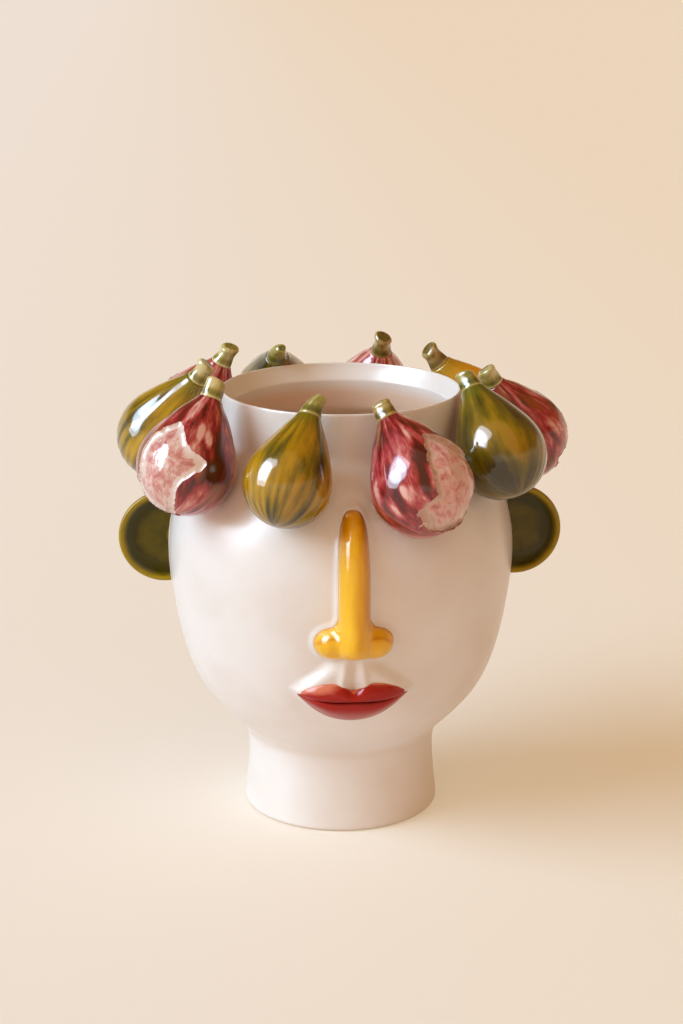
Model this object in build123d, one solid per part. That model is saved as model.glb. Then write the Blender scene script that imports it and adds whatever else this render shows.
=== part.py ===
from build123d import *
import math
import os

os.makedirs("parts", exist_ok=True)

# A face vase of glazed earthenware, in millimetres. The origin is the middle of the foot's underside, +Z is up
# and the face looks along -Y. Left and right are the viewer's, so the left ear is on -X.

# Joints: the film of slip that holds two castings together
lute_gap = 0.15
cut_overrun = 1.0
seam_turn = 18.0

# Head: a round casting whose dome turns up into a straight collar
head_radius = 82.0
head_wall = 5.0
cheek_height = 128.0
joint_height = 38.6
shoulder_height = 186.0
rim_height = 205.0
# Points of the head's outline: how far out from neck or collar to cheek, and how far up to the next landmark
chin_shares = [(0.205, 0.082), (0.548, 0.2385), (0.798, 0.4625), (0.941, 0.742)]
crown_shares = [(0.808, 0.4655), (0.46, 0.7276), (0.19, 0.867)]
outline_steps = 14
halvings = 40

# Mouth: a straight bore with a bevel under a thin rounded lip
mouth_radius = 51.0
bevel_depth = 8.0
lip_thickness = 1.4
lip_flare = 0.4

# Neck, which is also the foot
neck_radius = 44.5
neck_wall = 5.0
foot_radius = 48.0
foot_edge_radius = 2.0
foot_ring_width = 8.0
foot_recess = 2.0
floor_thickness = 5.0
neck_waist = 0.5

# Nose: a long half round bridge, a tip and two wings
nose_top = 164.0
nose_bottom = 100.3
bridge_half_width = 7.1
bridge_depth = 9.5
tip_depth = 16.0
nose_sink = 1.5
# Nose sections from the top down: height, half width, how near the tip's depth, and how much of that depth
nose_height_shares = [1.0, 0.93, 0.8, 0.6, 0.4, 0.22, 0.1, 0.0]
nose_width_shares = [0.5, 0.8, 0.97, 1.0, 1.0, 1.05, 1.12, 1.0]
nose_tip_shares = [0.0, 0.0, 0.0, 0.0, 0.25, 0.65, 1.0, 1.0]
nose_depth_shares = [0.08, 0.5, 0.85, 1.05, 1.0, 1.0, 1.0, 0.72]
wing_radius = 8.4
wing_spread = 10.4
wing_height = 106.6

# Lips, on a swelling of the head round the mouth
mouth_line_height = 76.5
mouth_corner_height = 81.0
mouth_half_angle = 19.0
upper_lip_height = 9.6
upper_lip_depth = 4.6
lower_lip_height = 11.2
lower_lip_depth = 5.6
lip_sink = 1.0
muzzle_height = 27.0
muzzle_drop = 4.0
muzzle_depth = 2.6
muzzle_sink = 1.6
muzzle_half_angle = 23.0
# Sections from the middle to the corner: angle, rise of the lower edge, height and depth
lip_angle_shares = [0.0, 0.32, 0.64, 0.87]
upper_rise_shares = [0.0, 0.1, 0.42, 0.75]
upper_height_shares = [0.68, 1.0, 0.66, 0.34]
upper_depth_shares = [0.9, 1.0, 0.8, 0.45]
lower_rise_shares = [0.0, 0.1, 0.42, 0.75]
lower_height_shares = [1.0, 0.95, 0.72, 0.38]
lower_depth_shares = [1.0, 0.95, 0.75, 0.45]
muzzle_rise_shares = [0.0, 0.1, 0.42, 0.75]
muzzle_height_shares = [1.0, 0.9, 0.5, 0.24]
muzzle_depth_shares = [1.0, 1.0, 0.8, 0.5]

# Ears: round dishes with a raised edge, cut by the head
ear_radius = 22.2
ear_thickness = 8.0
ear_dish_depth = 3.5
ear_edge_width = 2.6
ear_offset = 1.3
ear_clearance = 0.4
# Where the back starts to curve and the side stands upright, and how wide the dish's flat floor is
ear_back_share = 0.5
ear_side_share = 0.7
ear_floor_share = 0.45

# Figs: green and red in turn, seated on the shoulder
green_radius = 20.5
green_length = 34.0
red_radius = 23.0
red_length = 32.8
fig_neck_radius = 5.8
fig_wall = 4.0
fig_seat_height = 168.0
fig_seat_depth = 1.5
vent_radius = 2.0
rind_thickness = 1.3
# Pear outline: radius against the bulb radius, and height against bulb radius below, neck length above
pear_low_shares = [(0.52, -0.84), (0.88, -0.46)]
pear_high_shares = [(0.9, 0.29), (0.63, 0.6), (0.4, 0.84)]
pear_bottom_share = 0.97
core_length_share = 0.6
# Hollow core of a fig, against its own radius and, above the bulb's centre, its own length
core_shares = [(0.72, -0.69), (1.0, 0.0), (0.72, 0.68), (0.15, 1.0)]
# Torn skin of a red fig, seen square on: across and along its axis, against the bulb radius
tear_shares = [
    (-0.1, 0.72),
    (0.14, 0.35),
    (0.36, 0.17),
    (0.72, 0.08),
    (0.58, -0.22),
    (0.28, -0.48),
    (0.12, -0.9),
    (0.02, -1.1),
    (-0.95, -1.0),
    (-1.1, -0.5),
    (-0.8, -0.36),
    (-0.72, 0.0),
    (-0.58, 0.34),
]
tear_turn = 30.0

# Ring of figs, anticlockwise from the left front. The space left over is shared between neighbours.
fig_kinds = ["red", "green"] * 5
first_azimuth = -56.5
fig_clearance = 0.3
gap_shares = [0.1125, 0.1563, 0.1124, 0.0737, 0.0149, 0.2424, 0.055, 0.0619, 0.0098, 0.1611]
fig_size_shares = [1.0, 0.97, 1.03, 1.02, 0.96, 1.0, 1.0, 1.02, 0.99, 1.04]
# How much higher than the common seat each fig was pressed on
fig_lifts = [0.0, 0.5, -1.5, 2.5, 0.0, 1.5, -1.0, 4.0, -1.5, 1.0]
fig_tilts = [28, 32, 34, 36, 30, 37, 28, 42, 27, 33]
fig_leans = [-4, 9, -14, 15, -10, 14, -13, 14, -11, 12]
tear_sides = [1, 1, -1, 1, 1, 1, -1, 1, 1, 1]

# Stalks: cut short, waisted, with a slightly wider end
stalk_length = 9.5
stalk_waist_radius = 4.2
stalk_end_radius = 4.7
stalk_edge = 0.8
stalk_waist_share = 0.55


def between(low, high, share):
    """The value at a share of the way from low to high."""
    return low + (high - low) * share


def make_head_line():
    """The head's outside from the neck joint to the collar, as radius and height."""
    collar_radius = mouth_radius + head_wall
    points = [(neck_radius, joint_height)]
    for out, up in chin_shares:
        points.append((between(neck_radius, head_radius, out), between(joint_height, cheek_height, up)))
    points.append((head_radius, cheek_height))
    for out, up in crown_shares:
        points.append((between(collar_radius, head_radius, out), between(cheek_height, shoulder_height, up)))
    points.append((collar_radius, shoulder_height))
    return Spline(*points, tangents=[(1.2, 1), (0, 1)])


def beside(line, inset):
    """The same line moved towards the axis by inset."""
    points = []
    for step in range(outline_steps + 1):
        along = line % (step / outline_steps)
        points.append(line @ (step / outline_steps) + Vector(-along.Y, along.X) * inset)
    return Spline(*points, tangents=[line % 0, line % 1])


def turned(*edges):
    """The solid that a closed outline of radius and height makes round the Z axis."""
    return revolve(Plane.XZ * make_face(edges), axis=Axis.Z)


head_line = make_head_line()


def share_at(height):
    """How far along the head's outline a height is reached."""
    low, high = 0.0, 1.0
    for _ in range(halvings):
        middle = (low + high) / 2
        if (head_line @ middle).Y < height:
            low = middle
        else:
            high = middle
    return middle


def radius_at(height):
    """The head's outside radius at a height."""
    return (head_line @ share_at(height)).X


def on_azimuth(radius, azimuth, height):
    """A point at a radius and height, turned from the face by azimuth degrees towards +X."""
    angle = math.radians(azimuth)
    return Vector(radius * math.sin(angle), -radius * math.cos(angle), height)


def head_block(grow):
    """The head and collar without a hollow, larger all round by grow, with the surface's seam between two figs."""
    line = beside(head_line, -grow)
    top = (mouth_radius + head_wall + lip_flare + grow, rim_height + grow)
    block = turned(
        line,
        Line(line @ 1, top),
        Line(top, (0, rim_height + grow)),
        Line((0, rim_height + grow), (0, (line @ 0).Y)),
        Line((0, (line @ 0).Y), line @ 0),
    )
    return Rot(0, 0, seam_turn) * block


def trimmed(shape, block):
    """The piece of a shape that is left outside a block."""
    pieces = (shape - block).solids()
    return max(pieces, key=lambda piece: math.hypot(piece.center().X, piece.center().Y))


def swelling(angles, low_edges, heights, depths, corner, sink):
    """A pointed bulge that lies along the head, from section ellipses with centres sunk into the head."""
    halves = []
    for side in (-1, 1):
        half = []
        for angle, low_edge, height, depth in zip(angles, low_edges, heights, depths):
            middle = low_edge + height / 2
            centre = on_azimuth(radius_at(middle) - sink, side * angle, middle)
            out = on_azimuth(1, side * angle, 0)
            plane = Plane(origin=centre, x_dir=out, z_dir=out.cross(Vector(0, 0, 1)))
            reach = height / 2 / math.sqrt(1 - (sink / (depth + sink)) ** 2)
            half.append(plane * Ellipse(depth + sink, reach))
        tip = on_azimuth(radius_at(corner[1]) - sink, side * corner[0], corner[1])
        half.append(Vertex(tip.X, tip.Y, tip.Z))
        halves.append(half)
    return loft(halves[0][::-1] + halves[1][1:])


def muzzle(grow):
    """The soft swelling of the head round the mouth, larger all round by grow."""
    height = muzzle_height + 2 * grow
    rise = mouth_corner_height - mouth_line_height
    return swelling(
        [muzzle_half_angle * share for share in lip_angle_shares],
        [mouth_line_height - muzzle_drop - grow + rise * share for share in muzzle_rise_shares],
        [height * share for share in muzzle_height_shares],
        [(muzzle_depth + grow) * share for share in muzzle_depth_shares],
        (muzzle_half_angle, mouth_corner_height),
        muzzle_sink,
    )


def make_head_shell():
    inner = beside(head_line, head_wall)
    lip_radius = lip_thickness / 2
    outside = mouth_radius + head_wall + lip_flare
    lip_height = rim_height - lip_radius
    bevel_foot = (mouth_radius, rim_height - bevel_depth)
    neck_bore = (neck_radius - neck_wall, joint_height)
    shell = turned(
        head_line,
        Line(head_line @ 1, (outside, lip_height)),
        CenterArc((outside - lip_radius, lip_height), lip_radius, 0, 180),
        Line((outside - lip_thickness, lip_height), bevel_foot),
        Line(bevel_foot, inner @ 1),
        inner,
        Line(inner @ 0, neck_bore),
        Line(neck_bore, head_line @ 0),
    )
    return shell + muzzle(0)


def make_neck_foot():
    top = joint_height - lute_gap
    floor_top = foot_recess + floor_thickness
    middle = (between(foot_radius, neck_radius, 0.5) - neck_waist, between(foot_edge_radius, top, 0.5))
    ring_inside = foot_radius - foot_ring_width
    corners = [
        (neck_radius, top),
        (neck_radius - neck_wall, top),
        (foot_radius - neck_wall, floor_top),
        (0, floor_top),
        (0, foot_recess),
        (ring_inside - foot_recess, foot_recess),
        (ring_inside, 0),
        (foot_radius - foot_edge_radius, 0),
    ]
    edges = [Line(start, end) for start, end in zip(corners, corners[1:])]
    edges.append(CenterArc((foot_radius - foot_edge_radius, foot_edge_radius), foot_edge_radius, 270, 90))
    edges.append(ThreePointArc((foot_radius, foot_edge_radius), middle, (neck_radius, top)))
    return turned(*edges)


def make_nose(seat):
    """Bridge and tip lofted from ellipses sunk into the head, with a round wing on each side."""
    sections = []
    rows = zip(nose_height_shares, nose_width_shares, nose_tip_shares, nose_depth_shares)
    for up, wide, near_tip, deep in rows:
        height = between(nose_bottom, nose_top, up)
        depth = between(bridge_depth, tip_depth, near_tip) * deep
        ellipse = Ellipse(bridge_half_width * wide, depth + nose_sink)
        sections.append(Pos(0, nose_sink - radius_at(height), height) * ellipse)
    nose = loft(sections)
    for side in (-1, 1):
        azimuth = side * math.degrees(wing_spread / radius_at(wing_height))
        nose += Pos(on_azimuth(radius_at(wing_height), azimuth, wing_height)) * Sphere(wing_radius)
    return trimmed(nose, seat)


def make_lip(seat, height, depth, above, rises, heights, depths):
    """One lip: its edge on the mouth line curves up from the middle to the corners."""
    low_edges = []
    for rise, share in zip(rises, heights):
        line = between(mouth_line_height, mouth_corner_height, rise)
        low_edges.append(line + lute_gap if above else line - lute_gap - height * share)
    lip = swelling(
        [mouth_half_angle * share for share in lip_angle_shares],
        low_edges,
        [height * share for share in heights],
        [(depth + muzzle_depth) * share for share in depths],
        (mouth_half_angle, mouth_corner_height + (lute_gap if above else -lute_gap)),
        lip_sink,
    )
    return trimmed(lip - muzzle(lute_gap), seat)


def make_ear(seat, side, height):
    """A dish with a raised edge that faces forward, cut where it meets the head."""
    back = (ear_radius * ear_back_share, 0)
    side_point = (ear_radius, ear_thickness * ear_side_share)
    crest = (ear_radius - ear_edge_width / 2, ear_thickness)
    brink = (ear_radius - ear_edge_width, ear_thickness - ear_edge_width / 2)
    floor = (ear_radius * ear_floor_share, ear_thickness - ear_dish_depth)
    dish = turned(
        Line((0, 0), back),
        Spline(back, side_point, tangents=[(1, 0), (0, 1)]),
        Spline(side_point, crest, brink, tangents=[(0, 1), (-0.3, -1)]),
        Spline(brink, floor, tangents=[(-0.3, -1), (-1, 0)]),
        Line(floor, (0, floor[1])),
        Line((0, floor[1]), (0, 0)),
    )
    place = Plane(
        origin=(side * (head_radius + ear_offset), ear_thickness / 2, height),
        x_dir=(1, 0, 0),
        z_dir=(0, -1, 0),
    )
    return trimmed(place * dish, seat)


def pear_line(radius, length):
    """A fig's outside from the bottom to the neck, with the bulb's centre at height zero."""
    bottom = -radius * pear_bottom_share
    points = [(0, bottom)]
    for out, up in pear_low_shares:
        points.append((radius * out, radius * up))
    points.append((radius, 0))
    for out, up in pear_high_shares:
        points.append((between(0, radius, out), length * up))
    points.append((fig_neck_radius, length))
    return Spline(*points, tangents=[(1, 0), (-0.25, 1)])


def make_tear(radius, side):
    """The skin torn from a red fig: a ragged patch as thick as the rind, facing local +X."""
    outline = Polyline([(side * across * radius, along * radius) for across, along in tear_shares], close=True)
    facing = Plane(origin=(0, 0, 0), x_dir=(0, 1, 0), z_dir=(1, 0, 0))
    return extrude(facing * make_face(outline), radius + cut_overrun)


def make_fig(kind, size_share, azimuth, lift, tilt, lean, tear_side, seat, inner_seat):
    """One hollow fig and its stalk. The bulb sits on the head, and the neck leans in over the shoulder."""
    radius = size_share * (red_radius if kind == "red" else green_radius)
    length = size_share * (red_length if kind == "red" else green_length)
    share = share_at(fig_seat_height + lift)
    along = head_line % share
    outward = Vector(along.Y, -along.X)
    centre = head_line @ share + outward * (radius - fig_seat_depth)

    up = Vector(0, 0, 1)
    out = on_azimuth(1, azimuth, 0)
    sideways = on_azimuth(1, azimuth + 90, 0)
    axis = up * math.cos(math.radians(tilt)) - out * math.sin(math.radians(tilt))
    axis = axis * math.cos(math.radians(lean)) + sideways * math.sin(math.radians(lean))
    place = Plane(origin=on_azimuth(centre.X, azimuth, centre.Y), x_dir=out, z_dir=axis)

    line = pear_line(radius, length)
    bottom = (line @ 0).Y
    pear = turned(line, Line(line @ 1, (0, length)), Line((0, length), (0, bottom)))
    if kind == "red":
        core_line = beside(line, rind_thickness)
        core_top = (core_line @ 1).Y
        flesh = turned(
            core_line,
            Line(core_line @ 1, (0, core_top)),
            Line((0, core_top), (0, bottom + rind_thickness)),
        )
        tear = Rot(0, 0, tear_turn) * make_tear(radius, tear_side)
        pear = pear - (tear - flesh)

    core_radius = radius - fig_wall
    core_top = length * core_length_share
    core_points = [(0, -core_radius)]
    for out_share, up_share in core_shares:
        core_points.append((core_radius * out_share, up_share * (core_top if up_share > 0 else core_radius)))
    core_line = Spline(*core_points, tangents=[(1, 0), (-1, 0.2)])
    core = turned(core_line, Line(core_line @ 1, (0, core_top)), Line((0, core_top), (0, -core_radius)))
    vent_way = on_azimuth(-outward.X, azimuth, -outward.Y)
    vent_plane = Plane(origin=place.origin, z_dir=vent_way)
    vent = vent_plane * extrude(Circle(vent_radius), radius)
    hollow = trimmed(place * core, inner_seat)
    fig = trimmed(place * pear - hollow - vent, seat)

    stalk_base = length + lute_gap
    stalk_top = stalk_base + stalk_length
    waist = (stalk_waist_radius, between(stalk_base, stalk_top, stalk_waist_share))
    stalk = turned(
        Line((0, stalk_base), (fig_neck_radius, stalk_base)),
        Spline(
            (fig_neck_radius, stalk_base),
            waist,
            (stalk_end_radius, stalk_top - stalk_edge),
            tangents=[(-0.4, 1), (0, 1)],
        ),
        Line((stalk_end_radius, stalk_top - stalk_edge), (stalk_end_radius - stalk_edge, stalk_top)),
        Line((stalk_end_radius - stalk_edge, stalk_top), (0, stalk_top)),
        Line((0, stalk_top), (0, stalk_base)),
    )
    return fig, place * stalk


def ring_azimuths():
    """Azimuth of each fig, from the angle that two neighbours fill and the share of the spare space."""
    along = head_line % share_at(fig_seat_height)
    radii = []
    for kind, size_share in zip(fig_kinds, fig_size_shares):
        radii.append(size_share * (red_radius if kind == "red" else green_radius))
    mean_radius = (red_radius + green_radius) / 2
    ring_radius = radius_at(fig_seat_height) + along.Y * (mean_radius - fig_seat_depth)
    touching = []
    for radius, neighbour in zip(radii, radii[1:] + radii[:1]):
        reach = (radius + neighbour + fig_clearance) / 2
        touching.append(2 * math.degrees(math.asin(reach / ring_radius)))
    spare = 360 - sum(touching)
    azimuths = [first_azimuth]
    for angle, share in zip(touching[:-1], gap_shares):
        azimuths.append(azimuths[-1] + angle + spare * share)
    return azimuths


def ear_height():
    """The ears' centre, just under the red figs' bulbs."""
    share = share_at(fig_seat_height)
    along = head_line % share
    bulb_height = (head_line @ share).Y - along.X * (red_radius - fig_seat_depth)
    return bulb_height - red_radius - ear_clearance - ear_radius


def build():
    seat = head_block(lute_gap)
    inner_seat = head_block(fig_wall)
    parts = {
        "head_shell": make_head_shell(),
        "neck_foot": make_neck_foot(),
        "nose": make_nose(seat),
        "upper_lip": make_lip(
            seat,
            upper_lip_height,
            upper_lip_depth,
            True,
            upper_rise_shares,
            upper_height_shares,
            upper_depth_shares,
        ),
        "lower_lip": make_lip(
            seat,
            lower_lip_height,
            lower_lip_depth,
            False,
            lower_rise_shares,
            lower_height_shares,
            lower_depth_shares,
        ),
        "ear_left": make_ear(seat, -1, ear_height()),
        "ear_right": make_ear(seat, 1, ear_height()),
    }
    rows = zip(fig_kinds, fig_size_shares, ring_azimuths(), fig_lifts, fig_tilts, fig_leans, tear_sides)
    for number, row in enumerate(rows, start=1):
        fig, stalk = make_fig(*row, seat, inner_seat)
        parts[f"fig_{number:02d}"] = fig
        parts[f"stalk_{number:02d}"] = stalk
    return parts


for node, shape in build().items():
    export_step(shape, f"parts/{node}.step")
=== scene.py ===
"""The looks of a glazed earthenware vase: a round head with a stylised face and a ring of ten modelled figs.

The face looks along -Y and +Z is up. Left and right are the viewer's, so the left ear is on -X. The classes hold
their sizes in millimetres, as a potter measures them, and MM turns them into Blender's metres.
"""

import logging
import math
from collections.abc import Sequence
from dataclasses import dataclass, replace
from enum import Enum

import bmesh
import bpy
import numpy as np
from mathutils import Matrix, Vector, kdtree, noise


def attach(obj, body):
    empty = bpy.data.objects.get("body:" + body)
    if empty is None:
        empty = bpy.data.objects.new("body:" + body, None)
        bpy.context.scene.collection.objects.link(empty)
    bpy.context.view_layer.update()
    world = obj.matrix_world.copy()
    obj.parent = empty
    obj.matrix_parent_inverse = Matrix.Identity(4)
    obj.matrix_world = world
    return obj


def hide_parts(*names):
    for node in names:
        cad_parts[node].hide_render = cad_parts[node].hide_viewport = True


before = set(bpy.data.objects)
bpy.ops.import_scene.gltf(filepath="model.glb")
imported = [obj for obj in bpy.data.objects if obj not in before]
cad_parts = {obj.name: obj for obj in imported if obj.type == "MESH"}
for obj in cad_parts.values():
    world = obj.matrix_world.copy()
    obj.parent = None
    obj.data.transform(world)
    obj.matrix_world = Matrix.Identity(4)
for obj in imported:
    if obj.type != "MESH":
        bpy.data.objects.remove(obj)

Tree = bpy.types.NodeTree
Socket = bpy.types.NodeSocket
Piece = bpy.types.Object

MM = 0.001
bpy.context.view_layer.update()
# Stands for far away, in millimetres
FAR = 99.0
log = logging.getLogger("face_vase")


# Colour and nodes


def linear(code: str) -> tuple[float, float, float, float]:
    """Turns an sRGB hex colour into the linear colour that a shader takes.

    Args:
        code: six hex digits after a hash.

    Returns:
        Red, green, blue and an alpha of 1.
    """
    parts = [int(code[i : i + 2], 16) / 255 for i in (1, 3, 5)]
    lin = [c / 12.92 if c <= 0.04045 else ((c + 0.055) / 1.055) ** 2.4 for c in parts]
    return (*lin, 1.0)


def empty_tree(owner: bpy.types.Material | bpy.types.World) -> Tree:
    """Turns on the nodes of a material or of the world, and clears them.

    Args:
        owner: the material or the world.

    Returns:
        Its empty node tree.
    """
    owner.use_nodes = True
    owner.node_tree.nodes.clear()
    return owner.node_tree


def add_node(
    tree: Tree,
    kind: str,
    inputs: dict[str | int, object] | None = None,
    out: str | int | None = None,
    stops: Sequence[tuple[float, str]] = (),
    **settings: object,
) -> bpy.types.Node | Socket:
    """Adds one node with its settings and links.

    Args:
        tree: the material's node tree.
        kind: the node's type name, without the ShaderNode that they all start with.
        inputs: a value or an output socket for each input, by name or number.
        out: the output to return in place of the node, by name or number.
        stops: position and hex colour of each stop of a colour ramp.
        settings: properties of the node.

    Returns:
        The new node, or one of its outputs.
    """
    node = tree.nodes.new(f"ShaderNode{kind}")
    for name, value in settings.items():
        setattr(node, name, value)
    for name, value in (inputs or {}).items():
        if isinstance(value, Socket):
            tree.links.new(value, node.inputs[name])
        else:
            node.inputs[name].default_value = value
    if stops:
        elements = node.color_ramp.elements
        while len(elements) < len(stops):
            elements.new(1.0)
        for element, (position, code) in zip(elements, stops):
            element.position = position
            element.color = linear(code)
    return node if out is None else node.outputs[out]


# Mesh making by hand


def deselect_all() -> None:
    """Leaves edit mode and deselects every object."""
    if bpy.context.object and bpy.context.object.mode != "OBJECT":
        bpy.ops.object.mode_set(mode="OBJECT")
    bpy.ops.object.select_all(action="DESELECT")


def pick(piece: Piece) -> None:
    """Makes one object the only selected and the active one.

    Args:
        piece: the piece.
    """
    deselect_all()
    piece.select_set(True)
    bpy.context.view_layer.objects.active = piece


def coords_of(piece: Piece) -> np.ndarray:
    """The piece's vertices in millimetres, one row each.

    Args:
        piece: the piece.

    Returns:
        The coordinates, in the order of the piece's vertices.
    """
    flat = np.empty(len(piece.data.vertices) * 3)
    piece.data.vertices.foreach_get("co", flat)
    return flat.reshape(-1, 3) / MM


def move_to(piece: Piece, coords: np.ndarray) -> None:
    """Moves the piece's vertices to coordinates in millimetres."""
    piece.data.vertices.foreach_set("co", (coords * MM).ravel())
    piece.data.update()


def tidy_mesh(piece: Piece) -> None:
    """Merges doubled vertices, closes any open end and turns all faces outwards.

    Args:
        piece: the piece.
    """
    pick(piece)
    bpy.ops.object.mode_set(mode="EDIT")
    bpy.ops.mesh.select_all(action="SELECT")
    bpy.ops.mesh.remove_doubles(threshold=0.01 * MM)
    bpy.ops.mesh.fill_holes(sides=0)
    bpy.ops.mesh.normals_make_consistent(inside=False)
    bpy.ops.object.mode_set(mode="OBJECT")


def turned(name: str, outline: list[tuple[float, float]], turns: tuple[tuple[int, float], ...]) -> Piece:
    """Draws an outline by extruding a point, then spins it round the Z axis.

    Args:
        name: the piece's name.
        outline: radius and height of each point.
        turns: steps and degrees of each part of the full turn, starting at the middle of the face.

    Returns:
        The turned piece, not yet smoothed.
    """
    deselect_all()
    bpy.ops.mesh.primitive_plane_add(size=MM)
    piece = bpy.context.object
    piece.name = name
    bpy.ops.object.mode_set(mode="EDIT")
    bpy.ops.mesh.select_all(action="SELECT")
    bpy.ops.mesh.merge(type="CENTER")
    start = math.radians(-90 - turns[0][1] / 2)
    out = Vector((math.cos(start), math.sin(start), 0))
    here = Vector((0, 0, 0))
    for step, (radius, height) in enumerate(outline):
        there = (out * radius + Vector((0, 0, height))) * MM
        if step == 0:
            bpy.ops.transform.translate(value=there - here)
        else:
            bpy.ops.mesh.extrude_region_move(TRANSFORM_OT_translate={"value": there - here})
        here = there
    bpy.ops.mesh.select_all(action="SELECT")
    for steps, degrees in turns:
        bpy.ops.mesh.spin(steps=steps, angle=-math.radians(degrees), center=(0, 0, 0), axis=(0, 0, 1))
    tidy_mesh(piece)
    return piece


def lofted(name: str, sections: np.ndarray) -> Piece:
    """Extrudes a loop of points from section to section and closes both ends.

    Args:
        name: the piece's name.
        sections: for each section its points in order, in millimetres.

    Returns:
        The lofted piece, not yet smoothed.
    """
    deselect_all()
    bpy.ops.mesh.primitive_circle_add(vertices=sections.shape[1], radius=MM)
    piece = bpy.context.object
    piece.name = name
    ring = coords_of(piece)
    bpy.ops.object.mode_set(mode="EDIT")
    bpy.ops.mesh.select_all(action="SELECT")
    for step, section in enumerate(sections):
        if step > 0:
            bpy.ops.mesh.extrude_region_move()
        cage = bmesh.from_edit_mesh(piece.data)
        for vertex in [v for v in cage.verts if v.select]:
            nearest = np.argmin(np.linalg.norm(ring - np.array(vertex.co) / MM, axis=1))
            vertex.co = Vector(section[nearest]) * MM
        bmesh.update_edit_mesh(piece.data)
        ring = np.array(section)
    tidy_mesh(piece)
    return piece


def finish_with(piece: Piece, kind: str, **settings: object) -> None:
    """Adds a modifier with its settings and applies it.

    Args:
        piece: the piece.
        kind: the modifier's type name.
        settings: properties of the modifier.
    """
    pick(piece)
    modifier = piece.modifiers.new(kind.title(), kind)
    for name, value in settings.items():
        setattr(modifier, name, value)
    bpy.ops.object.modifier_apply(modifier=modifier.name)


def smooth(piece: Piece, levels: int, crease: float = 50.0) -> None:
    """Subdivides the piece smoothly and shades it smooth, but for edges sharper than an angle in degrees.

    Args:
        piece: the piece.
        levels: how often its faces are divided, 0 for not at all.
        crease: the angle in degrees.
    """
    if levels:
        finish_with(piece, "SUBSURF", levels=levels, render_levels=levels)
    pick(piece)
    bpy.ops.object.shade_smooth_by_angle(angle=math.radians(crease))


def raise_by(piece: Piece, heights: np.ndarray) -> None:
    """Raises the surface along its normals by a height for each vertex, in millimetres.

    Args:
        piece: the piece.
        heights: the height for each vertex, negative to sink it.
    """
    low, high = float(heights.min()), float(heights.max())
    if high - low < 1e-6:
        return
    group = piece.vertex_groups.new(name="relief")
    for index, weight in enumerate((heights - low) / (high - low)):
        group.add([index], float(weight), "REPLACE")
    finish_with(piece, "DISPLACE", strength=(high - low) * MM, mid_level=0.0, vertex_group="relief")
    piece.vertex_groups.remove(piece.vertex_groups["relief"])
    if abs(low) > 1e-6:
        finish_with(piece, "DISPLACE", strength=low * MM, mid_level=0.0)


def store(piece: Piece, name: str, values: np.ndarray) -> None:
    """Keeps a number or a vector for each vertex as an attribute that the glaze reads.

    Args:
        piece: the piece.
        name: the attribute's name.
        values: a number, or a row of three, for each vertex.
    """
    kind, key = ("FLOAT", "value") if values.ndim == 1 else ("FLOAT_VECTOR", "vector")
    layer = piece.data.attributes.new(name, kind, "POINT")
    layer.data.foreach_set(key, np.ascontiguousarray(values, dtype=np.float32).ravel())


def copy_of(piece: Piece, name: str) -> Piece:
    """Copies a piece together with its mesh.

    Args:
        piece: the piece.
        name: the copy's name.

    Returns:
        The copy.
    """
    pick(piece)
    bpy.ops.object.duplicate(linked=False)
    twin = bpy.context.object
    twin.name = name
    return twin


def place(piece: Piece, matrix: Matrix) -> None:
    """Puts a piece in its place and keeps the place in its mesh.

    Args:
        piece: the piece.
        matrix: its place, in metres.
    """
    pick(piece)
    piece.matrix_world = matrix
    bpy.ops.object.transform_apply(location=True, rotation=True, scale=True)


def step_up(low: float, high: float, values: np.ndarray) -> np.ndarray:
    """A soft step from 0 at low to 1 at high."""
    share = np.clip((values - low) / (high - low), 0, 1)
    return share * share * (3 - 2 * share)


def halved(points: tuple[tuple[float, float], ...], low: float, high: float) -> tuple[tuple[float, float], ...]:
    """Adds a point in the middle of each span of an outline between two heights, on a smooth curve.

    Args:
        points: radius and height of each point, from the bottom up.
        low: height from which spans are halved.
        high: height up to which spans are halved.

    Returns:
        The longer outline.
    """
    row = np.array(points)
    result = [points[0]]
    for index in range(1, len(row)):
        before, after = row[index - 1], row[index]
        if low <= before[1] and after[1] <= high:
            middle = (9 * (before + after) - row[index - 2] - row[index + 1]) / 16
            result.append((float(middle[0]), float(middle[1])))
        result.append(points[index])
    return tuple(result)


def reach_of(coords: np.ndarray) -> np.ndarray:
    """How far each point lies from the Z axis."""
    return np.hypot(*coords.T[:2])


def peel_of(angle: np.ndarray, up: np.ndarray, radius: float) -> np.ndarray:
    """Each point's place on a straight tube of a radius, in metres, where lengthwise streaks stay parallel."""
    return np.stack([radius * np.cos(angle), radius * np.sin(angle), up], axis=1) * MM


def grain(coords: np.ndarray, size: float, seed: float) -> np.ndarray:
    """Smooth noise between -1 and 1 at each point, with lumps of a size in millimetres."""
    shift = Vector((seed, 1.7 * seed, -seed))
    return np.array([noise.noise(Vector(point) / size + shift) for point in coords])


def distance_to(coords: np.ndarray, pieces: list[Piece], chosen: np.ndarray) -> np.ndarray:
    """How far each chosen point lies from the nearest vertex of some pieces.

    Args:
        coords: points in millimetres.
        pieces: the pieces to measure to.
        chosen: which points to measure; the others get a large distance.

    Returns:
        Distances in millimetres.
    """
    tree = kdtree.KDTree(sum(len(piece.data.vertices) for piece in pieces))
    for piece in pieces:
        for vertex in piece.data.vertices:
            tree.insert(vertex.co, 0)
    tree.balance()
    near = np.full(len(coords), FAR)
    for index in np.nonzero(chosen)[0]:
        near[index] = tree.find(Vector(coords[index]) * MM)[2] / MM
    return near


# Finishes


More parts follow.
